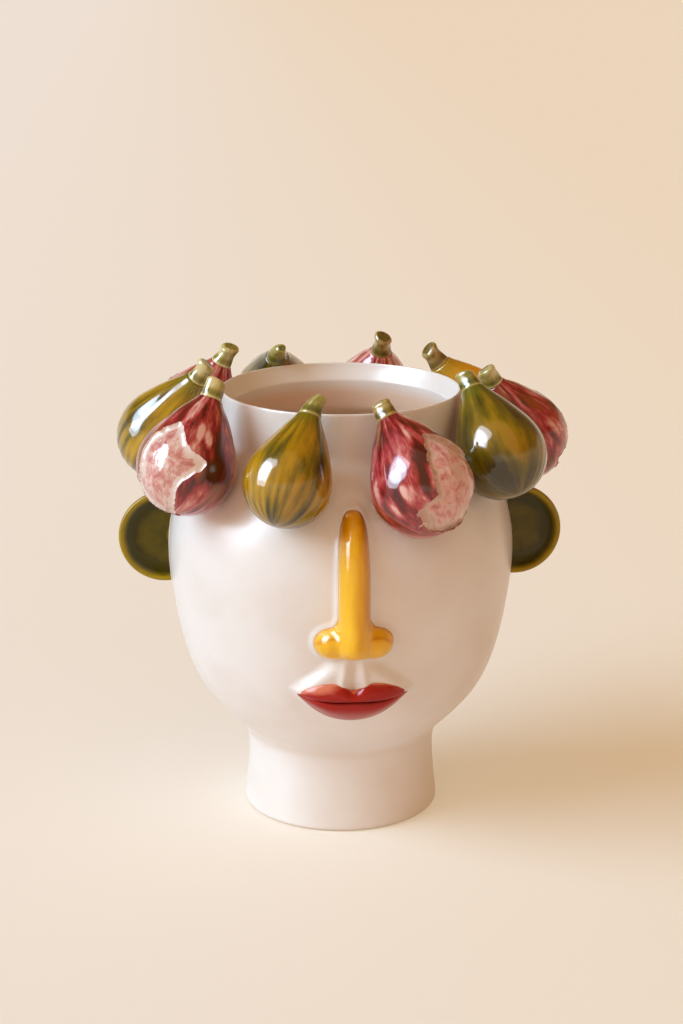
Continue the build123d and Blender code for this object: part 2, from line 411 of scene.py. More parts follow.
@dataclass(frozen=True)
class Glaze:
    """A fired lead-free transparent glaze over colour: a hard glassy coat with a sharp highlight."""

    name: str
    roughness: float = 0.3
    coat: float = 1.0
    coat_roughness: float = 0.06
    coat_bend: float = 1.6
    ripple: float = 0.02
    ripple_size: float = 9.0

    def colour(self, tree: Tree) -> Socket:
        """The glaze's colour over the piece."""
        raise NotImplementedError

    def build(self) -> bpy.types.Material:
        """Makes the material, or finds the one made before.

        Returns:
            The material for the whole piece.
        """
        if self.name in bpy.data.materials:
            return bpy.data.materials[self.name]
        material = bpy.data.materials.new(self.name)
        tree = empty_tree(material)
        where = add_node(tree, "TexCoord", out="Object")
        # The glaze flows as it melts and sets with slow ripples that bend the highlights
        inputs = {"Vector": where, "Scale": 1 / (self.ripple_size * MM), "Detail": 2.0, "Roughness": 0.45}
        waves = add_node(tree, "TexNoise", inputs, "Fac")
        bump = add_node(tree, "Bump", {"Height": waves, "Strength": 1.0, "Distance": self.ripple * MM}, "Normal")
        inputs = {
            "Base Color": self.colour(tree),
            "Roughness": self.roughness,
            "IOR": 1.5,
            "Specular IOR Level": 0.1,
            "Coat Weight": self.coat,
            "Coat Roughness": self.coat_roughness,
            "Coat IOR": self.coat_bend,
            "Normal": bump,
            "Coat Normal": bump,
        }
        shader = add_node(tree, "BsdfPrincipled", inputs, "BSDF")
        add_node(tree, "OutputMaterial", {"Surface": shader})
        return material


@dataclass(frozen=True)
class WhiteGlaze(Glaze):
    """White tin glaze: milky and opaque with a satin sheen, a little warmer in creases: thick glaze and painted shade.
    """

    coat: float = 0.5
    coat_roughness: float = 0.26
    cloud_size: float = 38.0
    body: str = "#F1EBE4"
    thin: str = "#EBE2D8"
    # Crease colour: partly glaze lying thick, partly painted shade where the parts meet
    pool: str = "#D9C0A8"
    inside: str = "#E6C5A9"
    # Painted light: the hollow under the collar is painted paler against the shade that falls in it
    hollow: str = "#FFEAD6"
    hollow_heights: tuple[float, float] = (186.0, 178.0)
    clay: str = "#D9B48A"
    clay_heights: tuple[float, float] = (0.9, 0.6)

    def colour(self, tree: Tree) -> Socket:
        """Milky white with slow clouds, warm in creases and inside, pale in the hollow, bare under the foot ring.

        Args:
            tree: the material's node tree.

        Returns:
            The colour.
        """
        where = add_node(tree, "TexCoord", out="Object")
        inputs = {"Vector": where, "Scale": 1 / (self.cloud_size * MM), "Detail": 3.0}
        cloud = add_node(tree, "TexNoise", inputs, "Fac")
        colour = add_node(tree, "ValToRGB", {"Fac": cloud}, "Color", [(0.35, self.thin), (0.6, self.body)])
        height = add_node(tree, "SeparateXYZ", {"Vector": where}, "Z")
        low, bare = (
            add_node(tree, "MapRange", {"Value": height, 1: start * MM, 2: end * MM}, "Result")
            for start, end in (self.hollow_heights, self.clay_heights)
        )
        crease, within = (
            add_node(tree, "Attribute", out="Fac", attribute_name=name) for name in ("crease", "within")
        )
        inputs = {"Factor": low, 6: linear(self.inside), 7: linear(self.hollow)}
        lining = add_node(tree, "Mix", inputs, 2, data_type="RGBA")
        for share, over in ((crease, linear(self.pool)), (within, lining), (bare, linear(self.clay))):
            colour = add_node(tree, "Mix", {"Factor": share, 6: colour, 7: over}, 2, data_type="RGBA")
        return colour


@dataclass(frozen=True)
class BrushedGlaze(Glaze):
    """Coloured glaze laid on with a brush: it changes colour in strokes, and from crest to hollow of the relief."""

    stops: tuple[tuple[float, str], ...] = ()
    relief: str = "depth"
    weight: float = 0.3
    stroke: float = 4.0
    stretch: tuple[float, float, float] = (1.0, 1.0, 1.0)
    detail: float = 3.0
    fineness: float = 0.6
    round_the_peel: bool = False

    def colour(self, tree: Tree) -> Socket:
        """The stops' colours, from where the glaze is thin to where it lies thick.

        Args:
            tree: the material's node tree.

        Returns:
            The colour.
        """
        if self.round_the_peel:
            where = add_node(tree, "Attribute", out="Vector", attribute_name="peel")
        else:
            where = add_node(tree, "TexCoord", out="Object")
        brushed = add_node(tree, "Mapping", {"Vector": where, "Scale": self.stretch}, "Vector")
        inputs = {"Vector": brushed, "Scale": 1 / (self.stroke * MM)}
        inputs.update({"Detail": self.detail, "Roughness": self.fineness})
        strokes = add_node(tree, "TexNoise", inputs, "Fac")
        relief = add_node(tree, "Attribute", out="Fac", attribute_name=self.relief)
        thick = add_node(tree, "Math", {0: strokes, 1: self.weight, 2: relief}, "Value", operation="MULTIPLY_ADD")
        return add_node(tree, "ValToRGB", {"Fac": thick}, "Color", self.stops)


@dataclass(frozen=True)
class FigGlaze(Glaze):
    """Glaze brushed lengthwise over a fig's coloured ground; the seed gives each fig streaks of its own."""

    seed: float = 0.0

    def brushed(self, tree: Tree, shade: Socket, layers: tuple[tuple[float, ...], ...]) -> Socket:
        """Adds streaks and clouds, drawn out over the peel, to a ground tone.

        Args:
            tree: the material's node tree.
            shade: the ground tone.
            layers: the weight, stretch, size, detail, roughness and distortion of each texture.

        Returns:
            The tone with its streaks and clouds.
        """
        peel = add_node(tree, "Attribute", out="Vector", attribute_name="peel")
        shift = (self.seed, -self.seed, 2 * self.seed)
        for weight, stretch, size, detail, rough, bend in layers:
            inputs = {"Vector": peel, "Location": shift, "Scale": (1.0, 1.0, stretch)}
            inputs = {"Vector": add_node(tree, "Mapping", inputs, "Vector"), "Scale": 1 / (size * MM)}
            inputs.update({"Detail": detail, "Roughness": rough, "Distortion": bend})
            inputs = {0: add_node(tree, "TexNoise", inputs, "Fac"), 1: weight, 2: shade}
            shade = add_node(tree, "Math", inputs, "Value", operation="MULTIPLY_ADD")
        return shade


@dataclass(frozen=True)
class GreenFigGlaze(FigGlaze):
    """Olive glaze brushed over ochre: golden where it is thin, olive in soft streaks, striped at the bottom."""

    gold: float = 0.6
    stripe: float = 0.14
    streak: float = 1.2
    cloud: float = 1.0
    # Painted shade: how much darker, and between which heights, the lower bulb is painted
    underside_painted_shade: float = 0.16
    underside_painted_shade_heights: tuple[float, float] = (-18.0, -2.0)
    neck: float = 0.6
    neck_heights: tuple[float, float] = (22.0, 34.0)
    light: str = "#B68A0A"
    ochre: str = "#9A7604"
    olive: str = "#6C5C04"
    dark: str = "#3A3002"
    green: str = "#5A6410"

    def colour(self, tree: Tree) -> Socket:
        """Soft lengthwise streaks of gold and olive that turn green towards the stalk, and painted shade below.

        Args:
            tree: the material's node tree.

        Returns:
            The colour.
        """
        peel = add_node(tree, "Attribute", out="Vector", attribute_name="peel")
        stripe = add_node(tree, "Attribute", out="Fac", attribute_name="stripe")
        inputs = {0: stripe, 1: -self.stripe, 2: -self.gold}
        shade = add_node(tree, "Math", inputs, "Value", operation="MULTIPLY_ADD")
        layers = ((self.streak, 0.24, 5.2, 5.0, 0.6, 0.0), (self.cloud, 0.5, 16.0, 2.0, 0.5, 0.0))
        shade = self.brushed(tree, shade, layers)
        height = add_node(tree, "SeparateXYZ", {"Vector": peel}, "Z")
        low, neck = (
            add_node(
                tree,
                "MapRange",
                {"Value": height, 1: start * MM, 2: end * MM, 3: first, 4: last},
                "Result",
                interpolation_type="SMOOTHSTEP",
            )
            for start, end, first, last in ((*self.underside_painted_shade_heights, self.underside_painted_shade, 0.0), (*self.neck_heights, 0.0, self.neck))
        )
        shade = add_node(tree, "Math", {0: shade, 1: low}, "Value")
        stops = [(0.36, self.light), (0.54, self.ochre), (0.7, self.olive), (0.92, self.dark)]
        colour = add_node(tree, "ValToRGB", {"Fac": shade}, "Color", stops)
        return add_node(tree, "Mix", {"Factor": neck, 6: colour, 7: linear(self.green)}, 2, data_type="RGBA")


@dataclass(frozen=True)
class RedFigGlaze(FigGlaze):
    """Crimson glaze dabbed over a rose ground, and a thin pale glaze on the flesh where the skin is torn away."""

    rose: float = 0.46
    darkest: str = "#4A0604"
    maroon: str = "#7E1418"
    crimson: str = "#AA3034"
    pink: str = "#C86C64"
    salmon: str = "#E6B4A4"
    ochre: str = "#94500A"
    pith: str = "#E8D2C4"
    white: str = "#EAD2C8"
    flesh: str = "#DEA698"
    blush: str = "#CE8880"
    stain: str = "#B05850"
    # Weight, stretch, size, detail, roughness and distortion of the streaks and of the clouds
    layers: tuple[tuple[float, ...], ...] = ((1.3, 0.34, 4.4, 5.0, 0.65, 0.5), (1.3, 0.55, 9.0, 3.0, 0.6, 0.0))
    brush_stretch: float = 0.42
    dab_size: float = 5.0
    patch_size: float = 11.0

    def skin(self, tree: Tree, peel: Socket) -> Socket:
        """Long crimson streaks, pale dabs of the brush low on the bulb and a little ochre between them.

        Args:
            tree: the material's node tree.
            peel: the places on the fig's peel.

        Returns:
            The skin's colour.
        """
        tone = add_node(tree, "Attribute", out="Fac", attribute_name="tone")
        # Each noise is 0.5 on average, so the two together are taken off the ground's tone
        shade = add_node(tree, "Math", {0: tone, 1: self.rose - 1.32}, "Value")
        shade = self.brushed(tree, shade, self.layers)
        shift = (self.seed, -self.seed, 2 * self.seed)
        inputs = {"Vector": peel, "Location": shift, "Scale": (1.0, 1.0, self.brush_stretch)}
        brush = add_node(tree, "Mapping", inputs, "Vector")
        inputs = {"Vector": brush, "Scale": 1 / (self.dab_size * MM), "Randomness": 0.9}
        dabs = add_node(tree, "TexVoronoi", inputs, "Distance", feature="SMOOTH_F1")
        inputs = {"Vector": brush, "Scale": 1 / (self.patch_size * MM), "Detail": 1.0}
        patches = add_node(tree, "TexNoise", inputs, "Fac")
        height = add_node(tree, "SeparateXYZ", {"Vector": peel}, "Z")
        # The pale dabs come in patches, where the brush was reloaded, and ochre shows where it ran dry
        dab, loaded, low, warm = (
            add_node(
                tree,
                "MapRange",
                {"Value": value, 1: start, 2: end, 3: first, 4: last},
                "Result",
                interpolation_type="SMOOTHSTEP",
            )
            for value, start, end, first, last in (
                (dabs, 0.1, 0.5, 0.5, -0.06), (patches, 0.42, 0.6, 0.0, 1.0), (height, 0.0, 20 * MM, 1.0, 0.5),
                (patches, 0.4, 0.3, 0.0, 0.6),
            )
        )
        strong = add_node(tree, "Math", {0: low, 1: loaded}, "Value", operation="MULTIPLY")
        shade = add_node(tree, "Math", {0: dab, 1: strong, 2: shade}, "Value", operation="MULTIPLY_ADD")
        codes = (self.darkest, self.maroon, self.crimson, self.pink, self.salmon)
        colour = add_node(tree, "ValToRGB", {"Fac": shade}, "Color", list(zip((0.16, 0.34, 0.5, 0.68, 0.88), codes)))
        return add_node(tree, "Mix", {"Factor": warm, 6: colour, 7: linear(self.ochre)}, 2, data_type="RGBA")

    def colour(self, tree: Tree) -> Socket:
        """The skin, and inside the tear a band of cream pith round mottled pink flesh.

        Args:
            tree: the material's node tree.

        Returns:
            The colour.
        """
        peel = add_node(tree, "Attribute", out="Vector", attribute_name="peel")
        inputs = {"Vector": peel, "Scale": 1 / (5.0 * MM), "Detail": 6.0, "Roughness": 0.72, "Distortion": 0.5}
        strings = add_node(tree, "TexNoise", inputs, "Fac")
        tear = add_node(tree, "Attribute", out="Fac", attribute_name="tear")
        inputs = {"Value": tear, 1: 0.6, 2: 2.8, 3: 0.2, 4: 0.0}
        rind = add_node(tree, "MapRange", inputs, "Result", interpolation_type="SMOOTHSTEP")
        fleshy = add_node(tree, "Math", {0: strings, 1: rind}, "Value")
        codes = (self.stain, self.blush, self.flesh, self.white, self.pith)
        meat = add_node(tree, "ValToRGB", {"Fac": fleshy}, "Color", list(zip((0.33, 0.43, 0.52, 0.6, 0.7), codes)))
        torn = add_node(tree, "MapRange", {"Value": tear, 1: -0.15, 2: 0.2}, "Result")
        return add_node(tree, "Mix", {"Factor": torn, 6: self.skin(tree, peel), 7: meat}, 2, data_type="RGBA")


WHITE = WhiteGlaze("white tin glaze")
# Yellow glaze is bright where it is thin on a crest and amber where it runs down the sides; the nose also carries
# painted shade
YELLOW = BrushedGlaze(
    "yellow brushed glaze",
    coat=0.7,
    coat_roughness=0.1,
    stops=((0.1, "#F8C018"), (0.42, "#E8A004"), (1.0, "#A06000")),
    relief="side",
    weight=0.35,
    stroke=3.2,
    stretch=(1.0, 1.0, 0.12),
    fineness=0.5,
)
# Brick red glaze breaks to salmon on a raised edge and runs dark into the mouth line, with painted light and shade on
# the lips
BRICK = BrushedGlaze(
    "brick red glaze",
    coat=0.35,
    coat_roughness=0.1,
    stops=((0.1, "#D97858"), (0.42, "#A6170F"), (0.7, "#A6170F"), (1.0, "#7C0808")),
    stroke=2.5,
    stretch=(0.3, 1.0, 1.0),
)
# Olive glaze is deep and dark in the dish, and honey gold where it thins over the raised edge
OLIVE = BrushedGlaze(
    "olive ear glaze",
    coat=0.25,
    stops=((0.2, "#A58A14"), (0.6, "#6C5E04"), (1.0, "#3C3600")),
    weight=0.5,
    stroke=9.0,
    detail=4.0,
)
# Pale yellow-green glaze runs olive at a stalk's foot and in its cut end
PALE_STALK, GREEN_STALK, OLIVE_STALK = (
    BrushedGlaze(
        f"{name} stalk glaze",
        stops=tuple(zip((0.35, 0.6, 1.0), codes)),
        weight=0.9,
        stretch=(1.0, 1.0, 0.5),
        round_the_peel=True,
    )
    for name, codes in (
        ("pale", ("#DCCF92", "#AC9C48", "#5E641E")),
        ("green", ("#BCAE62", "#847C2C", "#464C14")),
        ("olive", ("#BEA666", "#8C7430", "#4C4416")),
    )
)


def dress(piece: Piece, glaze: Glaze, node: str) -> None:
    """Glazes a piece, ties it to the vase and lets it stand for its plain solid.

    Args:
        piece: the finished piece.
        glaze: its finish.
        node: the plain solid that it replaces.
    """
    piece.data.materials.clear()
    piece.data.materials.append(glaze.build())
    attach(piece, "root")
    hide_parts(node)
    log.info("%s: %d faces", piece.name, len(piece.data.polygons))


# The head and what is luted to it


@dataclass(frozen=True)
class HeadOutline:
    """The head's outer outline, against which everything luted to it is pressed."""

    points: tuple[tuple[float, float], ...] = halved(
        (
            (44.5, 38.5), (49.2, 42.94), (53.73, 47.46), (58.25, 51.99), (62.55, 56.72), (66.36, 61.85),
            (69.53, 67.41), (72.11, 73.26), (74.22, 79.29), (75.97, 85.45), (77.41, 91.68), (78.63, 97.96),
            (79.68, 104.27), (80.63, 110.6), (81.39, 116.95), (81.88, 123.33), (81.99, 129.72), (81.63, 136.11),
            (80.74, 142.44), (79.27, 148.66), (77.14, 154.69), (74.32, 160.43), (70.97, 165.88), (67.29, 171.11),
            (63.26, 176.07), (58.49, 180.33), (57.0, 182.2), (56.3, 184.1), (56.0, 187.0), (56.2, 204.0),
        ),
        60.0,
        124.0,
    )

    def radius(self, height: np.ndarray) -> np.ndarray:
        """The outside radius at each height."""
        radii, heights = np.array(self.points).T
        return np.interp(height, heights, radii)

    def press(self, coords: np.ndarray, gap: float) -> np.ndarray:
        """Pushes every point that lies in the head out to its surface.

        Args:
            coords: points in millimetres.
            gap: how far off the surface the pushed points lie.

        Returns:
            The points, with those in the head moved.
        """
        result = coords.copy()
        for _ in range(3):
            flat = reach_of(result)
            slope = self.radius(result[:, 2] + 0.5) - self.radius(result[:, 2] - 0.5)
            lean = 1 / np.sqrt(1 + slope**2)
            short = (self.radius(result[:, 2]) - flat) * lean + gap
            inside = (short > 0) & (result[:, 2] < self.points[-1][1])
            push = np.where(inside, short, 0)
            grown = flat + push * lean
            result[:, :2] *= (grown / np.maximum(flat, 1e-6))[:, None]
            result[:, 2] -= push * slope * lean
        return result


@dataclass(frozen=True)
class Head:
    """The head: a hollow round casting with a bevelled mouth, and the soft swelling round the lips."""

    outline: HeadOutline = HeadOutline()
    wall: float = 5.0
    neck_bore: float = 39.5
    collar_foot: float = 187.5
    rim: float = 205.0
    bore: float = 51.0
    bevel: float = 8.0
    lip: float = 1.4
    flare: float = 0.4
    face_turn: float = 76.0
    face_steps: int = 44
    back_steps: int = 34
    face_top: float = 150.0
    skin: float = 1.5
    swell_height: float = 3.9
    ridge_height: float = 1.3
    ridge_width: float = 1.9
    groove_depth: float = 1.0
    groove_width: float = 1.5
    swell_heights: tuple[float, ...] = (60, 66, 74, 81.5, 86, 92, 99, 106)
    swell_widths: tuple[float, ...] = (11, 16, 24, 30, 26, 18.5, 12, 8)
    # Height and reach of the fillets of slip round the nose and round the lips
    nose_fillet: tuple[float, float] = (1.1, 1.5)
    lip_fillet: tuple[float, float] = (0.2, 1.2)

    def swelling(self, across: np.ndarray, height: np.ndarray) -> np.ndarray:
        """How far the head swells out round the mouth at each point of the face.

        Args:
            across: distance from the middle of the face.
            height: height above the foot.

        Returns:
            The swelling in millimetres.
        """
        side = np.abs(across)
        width = np.interp(height, self.swell_heights, self.swell_widths)
        soft = np.interp(height, (70, 82), (15.0, 10.0))
        body = step_up(0, soft, width - side) * step_up(60, 80, height) * (1 - 0.5 * step_up(90, 104, height))
        apart = np.interp(height, (84, 99), (5.2, 3.5))
        ridge = np.exp(-(((side - apart) / self.ridge_width) ** 2)) * step_up(79, 86, height)
        ridge *= 1 - step_up(99, 104, height)
        groove = np.exp(-((side / self.groove_width) ** 2)) * step_up(78, 84, height)
        groove *= 1 - step_up(98, 103, height)
        return self.swell_height * body + self.ridge_height * ridge - self.groove_depth * groove

    def surface(self, across: np.ndarray, height: np.ndarray) -> np.ndarray:
        """Distance of the face's skin from the middle plane, swelling included."""
        radius = self.outline.radius(height) + self.swelling(across, height)
        return np.sqrt(np.maximum(radius**2 - across**2, 1.0))

    def profile(self) -> list[tuple[float, float]]:
        """The closed outline of the wall, from the neck joint up, over the rim and down inside.

        Returns:
            Radius and height of each point.
        """
        outer = list(self.outline.points[:-1])
        coarse = [point for index, point in enumerate(outer) if index % 3 == 0 or point[1] > self.face_top]
        edge = self.outline.points[-2][0] + self.flare
        top = self.rim - self.lip / 2
        over = [(edge - 0.2, 194.0), (edge, 201.5), (edge, top - 0.4), (edge - 0.15, top + 0.25)]
        over += [(edge - self.lip / 2, self.rim), (edge - self.lip + 0.1, top + 0.2), (edge - self.lip, top - 0.5)]
        foot = self.rim - self.bevel
        over += [(edge - self.lip - 1.5, top - 3.5), (self.bore + 0.5, foot + 0.9), (self.bore, foot)]
        over += [(self.bore, foot - 0.9), (self.bore, foot - 5)]
        inner = [(max(r - self.wall, self.neck_bore), z) for r, z in coarse[::-1] if z < self.collar_foot]
        return outer + over + inner[:-1] + [(self.neck_bore, outer[0][1])]

    def on_skin(self, coords: np.ndarray) -> np.ndarray:
        """Which of the points lie on the outer skin, and not on the inside of the wall."""
        return reach_of(coords) > self.outline.radius(coords[:, 2]) - self.skin

    def build(self) -> Piece:
        """Turns the wall and raises the swelling round the mouth.

        Returns:
            The head without its material.
        """
        outline = self.profile()
        outline.append(outline[0])
        turns = ((self.face_steps, self.face_turn), (self.back_steps, 360 - self.face_turn))
        head = turned("head", outline, turns)
        smooth(head, 2)
        coords = coords_of(head)
        front = self.on_skin(coords) & (coords[:, 1] < 0) & (coords[:, 2] < self.face_top)
        heights = np.where(front, self.swelling(coords[:, 0], coords[:, 2]), 0)
        raise_by(head, heights)
        return head

    def fillet(self, head: Piece, face: list[Piece], others: list[Piece]) -> None:
        """Runs a fillet of white slip along nose and lips and marks each crease for pooled glaze and painted shade.

        Args:
            head: the head.
            face: the nose and the lips.
            others: all else that is luted to the head.
        """
        coords = coords_of(head)
        outside = self.on_skin(coords)
        nose, *lips = face
        fillet = sum(
            high * np.exp(-((distance_to(coords, pieces, outside) / reach) ** 2))
            for pieces, (high, reach) in (([nose], self.nose_fillet), (lips, self.lip_fillet))
        )
        far = distance_to(coords, others, outside)
        raise_by(head, np.where(outside, fillet, 0))
        joint = np.abs(coords[:, 2] - self.outline.points[0][1])
        store(head, "within", (1 - step_up(189, 198, coords[:, 2])) * (1.0 - outside))
        # The crease mark darkens the glaze round all that is luted on and at the neck joint: pooled glaze and painted
        # shade
        crease = np.exp(-((far / 1.6) ** 2)) + 0.4 * np.exp(-((joint / 2.5) ** 2))
        store(head, "crease", np.clip(0.55 * crease * outside, 0, 1))


@dataclass(frozen=True)
class Neck:
    """The neck, which is also the foot: a slightly waisted drum on a bare clay ring."""

    joint: float = 38.45
    top_radius: float = 44.4
    foot_radius: float = 46.8
    waist: float = 44.9
    wall: float = 5.0
    ring: float = 8.0
    recess: float = 2.0
    floor: float = 7.0
    # Radius and height of the points where the slip of the joint is smoothed up against the head
    seam: tuple[tuple[float, float], ...] = (
        (45.3, 39.9), (47.2, 41.7), (48.5, 42.85), (48.6, 42.7), (48.15, 41.8), (46.9, 40.0), (45.6, 37.6),
    )
    steps: int = 64

    def build(self) -> Piece:
        """Turns the neck and its floor.

        Returns:
            The neck without its material.
        """
        foot, top, inner = self.foot_radius, self.joint, self.foot_radius - self.ring
        outline = [
            (0, self.floor), (foot - self.wall - 8, self.floor), (foot - self.wall - 1, self.floor + 0.3),
            (foot - self.wall, self.floor + 2), (self.top_radius - self.wall, top - 1),
            (self.top_radius - self.wall, top), (self.top_radius - 0.6, top), *self.seam,
            (self.top_radius + 0.45, 34.6), (self.top_radius + 0.2, 30.5), (self.waist - 0.2, 23.5),
            (self.waist + 0.7, 13), (foot - 0.25, 4.2), (foot, 2.2), (foot - 0.4, 0.8), (foot - 1.6, 0.05),
            (foot - 3.5, 0), (inner + 1, 0), (inner, 0.2), (inner - 1.2, self.recess - 0.2),
            (inner - 2.4, self.recess), (0, self.recess),
        ]
        neck = turned("neck", outline, ((self.steps, 360.0),))
        smooth(neck, 2)
        coords = coords_of(neck)
        outside = reach_of(coords) > self.top_radius - 1
        # Painted shade, with some pooled glaze: a darker band round the neck's top, under the head
        store(neck, "crease", 0.22 * outside * np.exp(-(((coords[:, 2] - top) / 2.5) ** 2)))
        return neck


@dataclass(frozen=True)
class Nose:
    """The nose: a long half round bridge that flares into two wings and ends in a tip between them."""

    top: float = 165.6
    bottom: float = 99.0
    # Height, half width and depth of the bridge
    bridge: tuple[tuple[float, float, float], ...] = (
        (99.0, 7.2, 0.5), (99.8, 7.2, 3.5), (100.6, 7.2, 8.0), (101.8, 7.2, 11.4), (104.0, 7.2, 13.7),
        (107.0, 7.2, 14.6), (112.0, 7.2, 14.0), (120.0, 7.2, 12.0), (130.0, 7.2, 10.6), (140.0, 7.1, 10.0),
        (148.0, 6.8, 9.7), (154.0, 6.4, 9.4), (158.0, 6.0, 8.8), (161.0, 5.3, 7.7), (163.2, 4.4, 6.0),
        (164.7, 3.3, 3.8), (165.6, 2.0, 0.8),
    )
    # Middle, half width, height, half height and depth of a wing and of the flare above it
    wing: tuple[float, ...] = (9.6, 8.5, 106.3, 7.8, 9.2)
    flare: tuple[float, ...] = (4.0, 5.8, 110.0, 9.0, 7.6)
    melt: float = 3.5
    sink: float = 2.5
    levels: int = 46
    front_points: int = 33
    back_points: int = 15
    voxel: float = 0.5
    softening: int = 7
    gap: float = 0.05

    def lump(self, shape: tuple[float, ...], across: np.ndarray, height: float) -> tuple[np.ndarray, float]:
        """Depth of an egg-shaped lump at each point of a level, and how far out it reaches there.

        Args:
            shape: middle, half width, height, half height and depth of the lump.
            across: distance of each point from the middle of the face.
            height: height of the level.

        Returns:
            The depths, and the lump's half width at this level.
        """
        middle, wide, centre, tall, deep = shape
        level = max(1 - ((height - centre) / tall) ** 2, 0.0)
        away = np.maximum(np.abs(across) - middle, 0) / wide
        return deep * np.sqrt(np.maximum(level - away**2, 0)), (middle + wide * math.sqrt(level)) * (level > 0)

    def sections(self, head: Head) -> np.ndarray:
        """Level sections from the bottom up, with the bridge, flares and wings melted together.

        Args:
            head: the head that carries the nose.

        Returns:
            For each level its points in order.
        """
        heights, widths, depths = np.array(self.bridge).T
        steps = np.linspace(0, 1, self.levels)
        eased = 0.5 - 0.5 * np.cos(math.pi * steps)
        loops = []
        for height in self.bottom + (self.top - self.bottom) * (0.35 * eased + 0.65 * steps):
            base = float(head.outline.radius(np.array(height)))
            bridge_width = float(np.interp(height, heights, widths))
            reaches = [self.lump(shape, np.zeros(1), height)[1] for shape in (self.wing, self.flare)]
            width = (bridge_width**10 + sum(max(reach, 0.01) ** 10 for reach in reaches)) ** 0.1
            across = width * np.sin(np.linspace(-math.pi / 2, math.pi / 2, self.front_points))
            ridge = float(np.interp(height, heights, depths))
            layers = [ridge * np.sqrt(np.maximum(1 - (across / bridge_width) ** 2, 0))]
            layers += [self.lump(shape, across, height)[0] for shape in (self.wing, self.flare)]
            depth = sum(layer**self.melt for layer in layers) ** (1 / self.melt)
            front = np.stack([across, -(np.sqrt(base**2 - across**2) + depth), np.full(len(across), height)], axis=1)
            inner = np.linspace(width, -width, self.back_points + 2)[1:-1]
            back = np.stack([inner, -(np.sqrt(base**2 - inner**2) - self.sink), np.full(len(inner), height)], axis=1)
            loops.append(np.concatenate([front, back]))
        return np.array(loops)

    def build(self, head: Head) -> Piece:
        """Models the nose, melts its edges and presses it onto the head.

        Args:
            head: the head that carries the nose.

        Returns:
            The nose without its material.
        """
        nose = lofted("nose_relief", self.sections(head))
        finish_with(nose, "REMESH", mode="VOXEL", voxel_size=self.voxel * MM)
        finish_with(nose, "SMOOTH", factor=0.5, iterations=self.softening)
        move_to(nose, head.outline.press(coords_of(nose), self.gap))
        smooth(nose, 0)
        coords = coords_of(nose)
        lift = reach_of(coords) - head.outline.radius(coords[:, 2])
        side, up = np.abs(coords[:, 0]), coords[:, 2]
        # Amber: glaze along the foot and over the top, glaze and painted shade in the arc over each wing
        low = 1 - step_up(0.8, 3.6, lift)
        # The arc over each wing is partly painted shade in the crease above the wing
        away = np.hypot((side - 9.6) / 1.3, up - 105.0)
        arc = np.exp(-(((away - 5.6) / 0.7) ** 2)) * step_up(105, 108, up) * step_up(6, 8, side)
        # Painted shade: amber down the right flank, the side away from the window
        right = step_up(2.5, 5.0, coords[:, 0]) * step_up(112, 122, up)
        crown = step_up(146, 162, up) * step_up(1.0, 4.5, side)
        store(nose, "side", np.clip(0.55 * low + 0.35 * arc + 0.32 * right + 0.4 * crown, 0, 1))
        return nose


class LipKind(Enum):
    """Which of the two lips a section belongs to."""

    UPPER = "upper"
    LOWER = "lower"


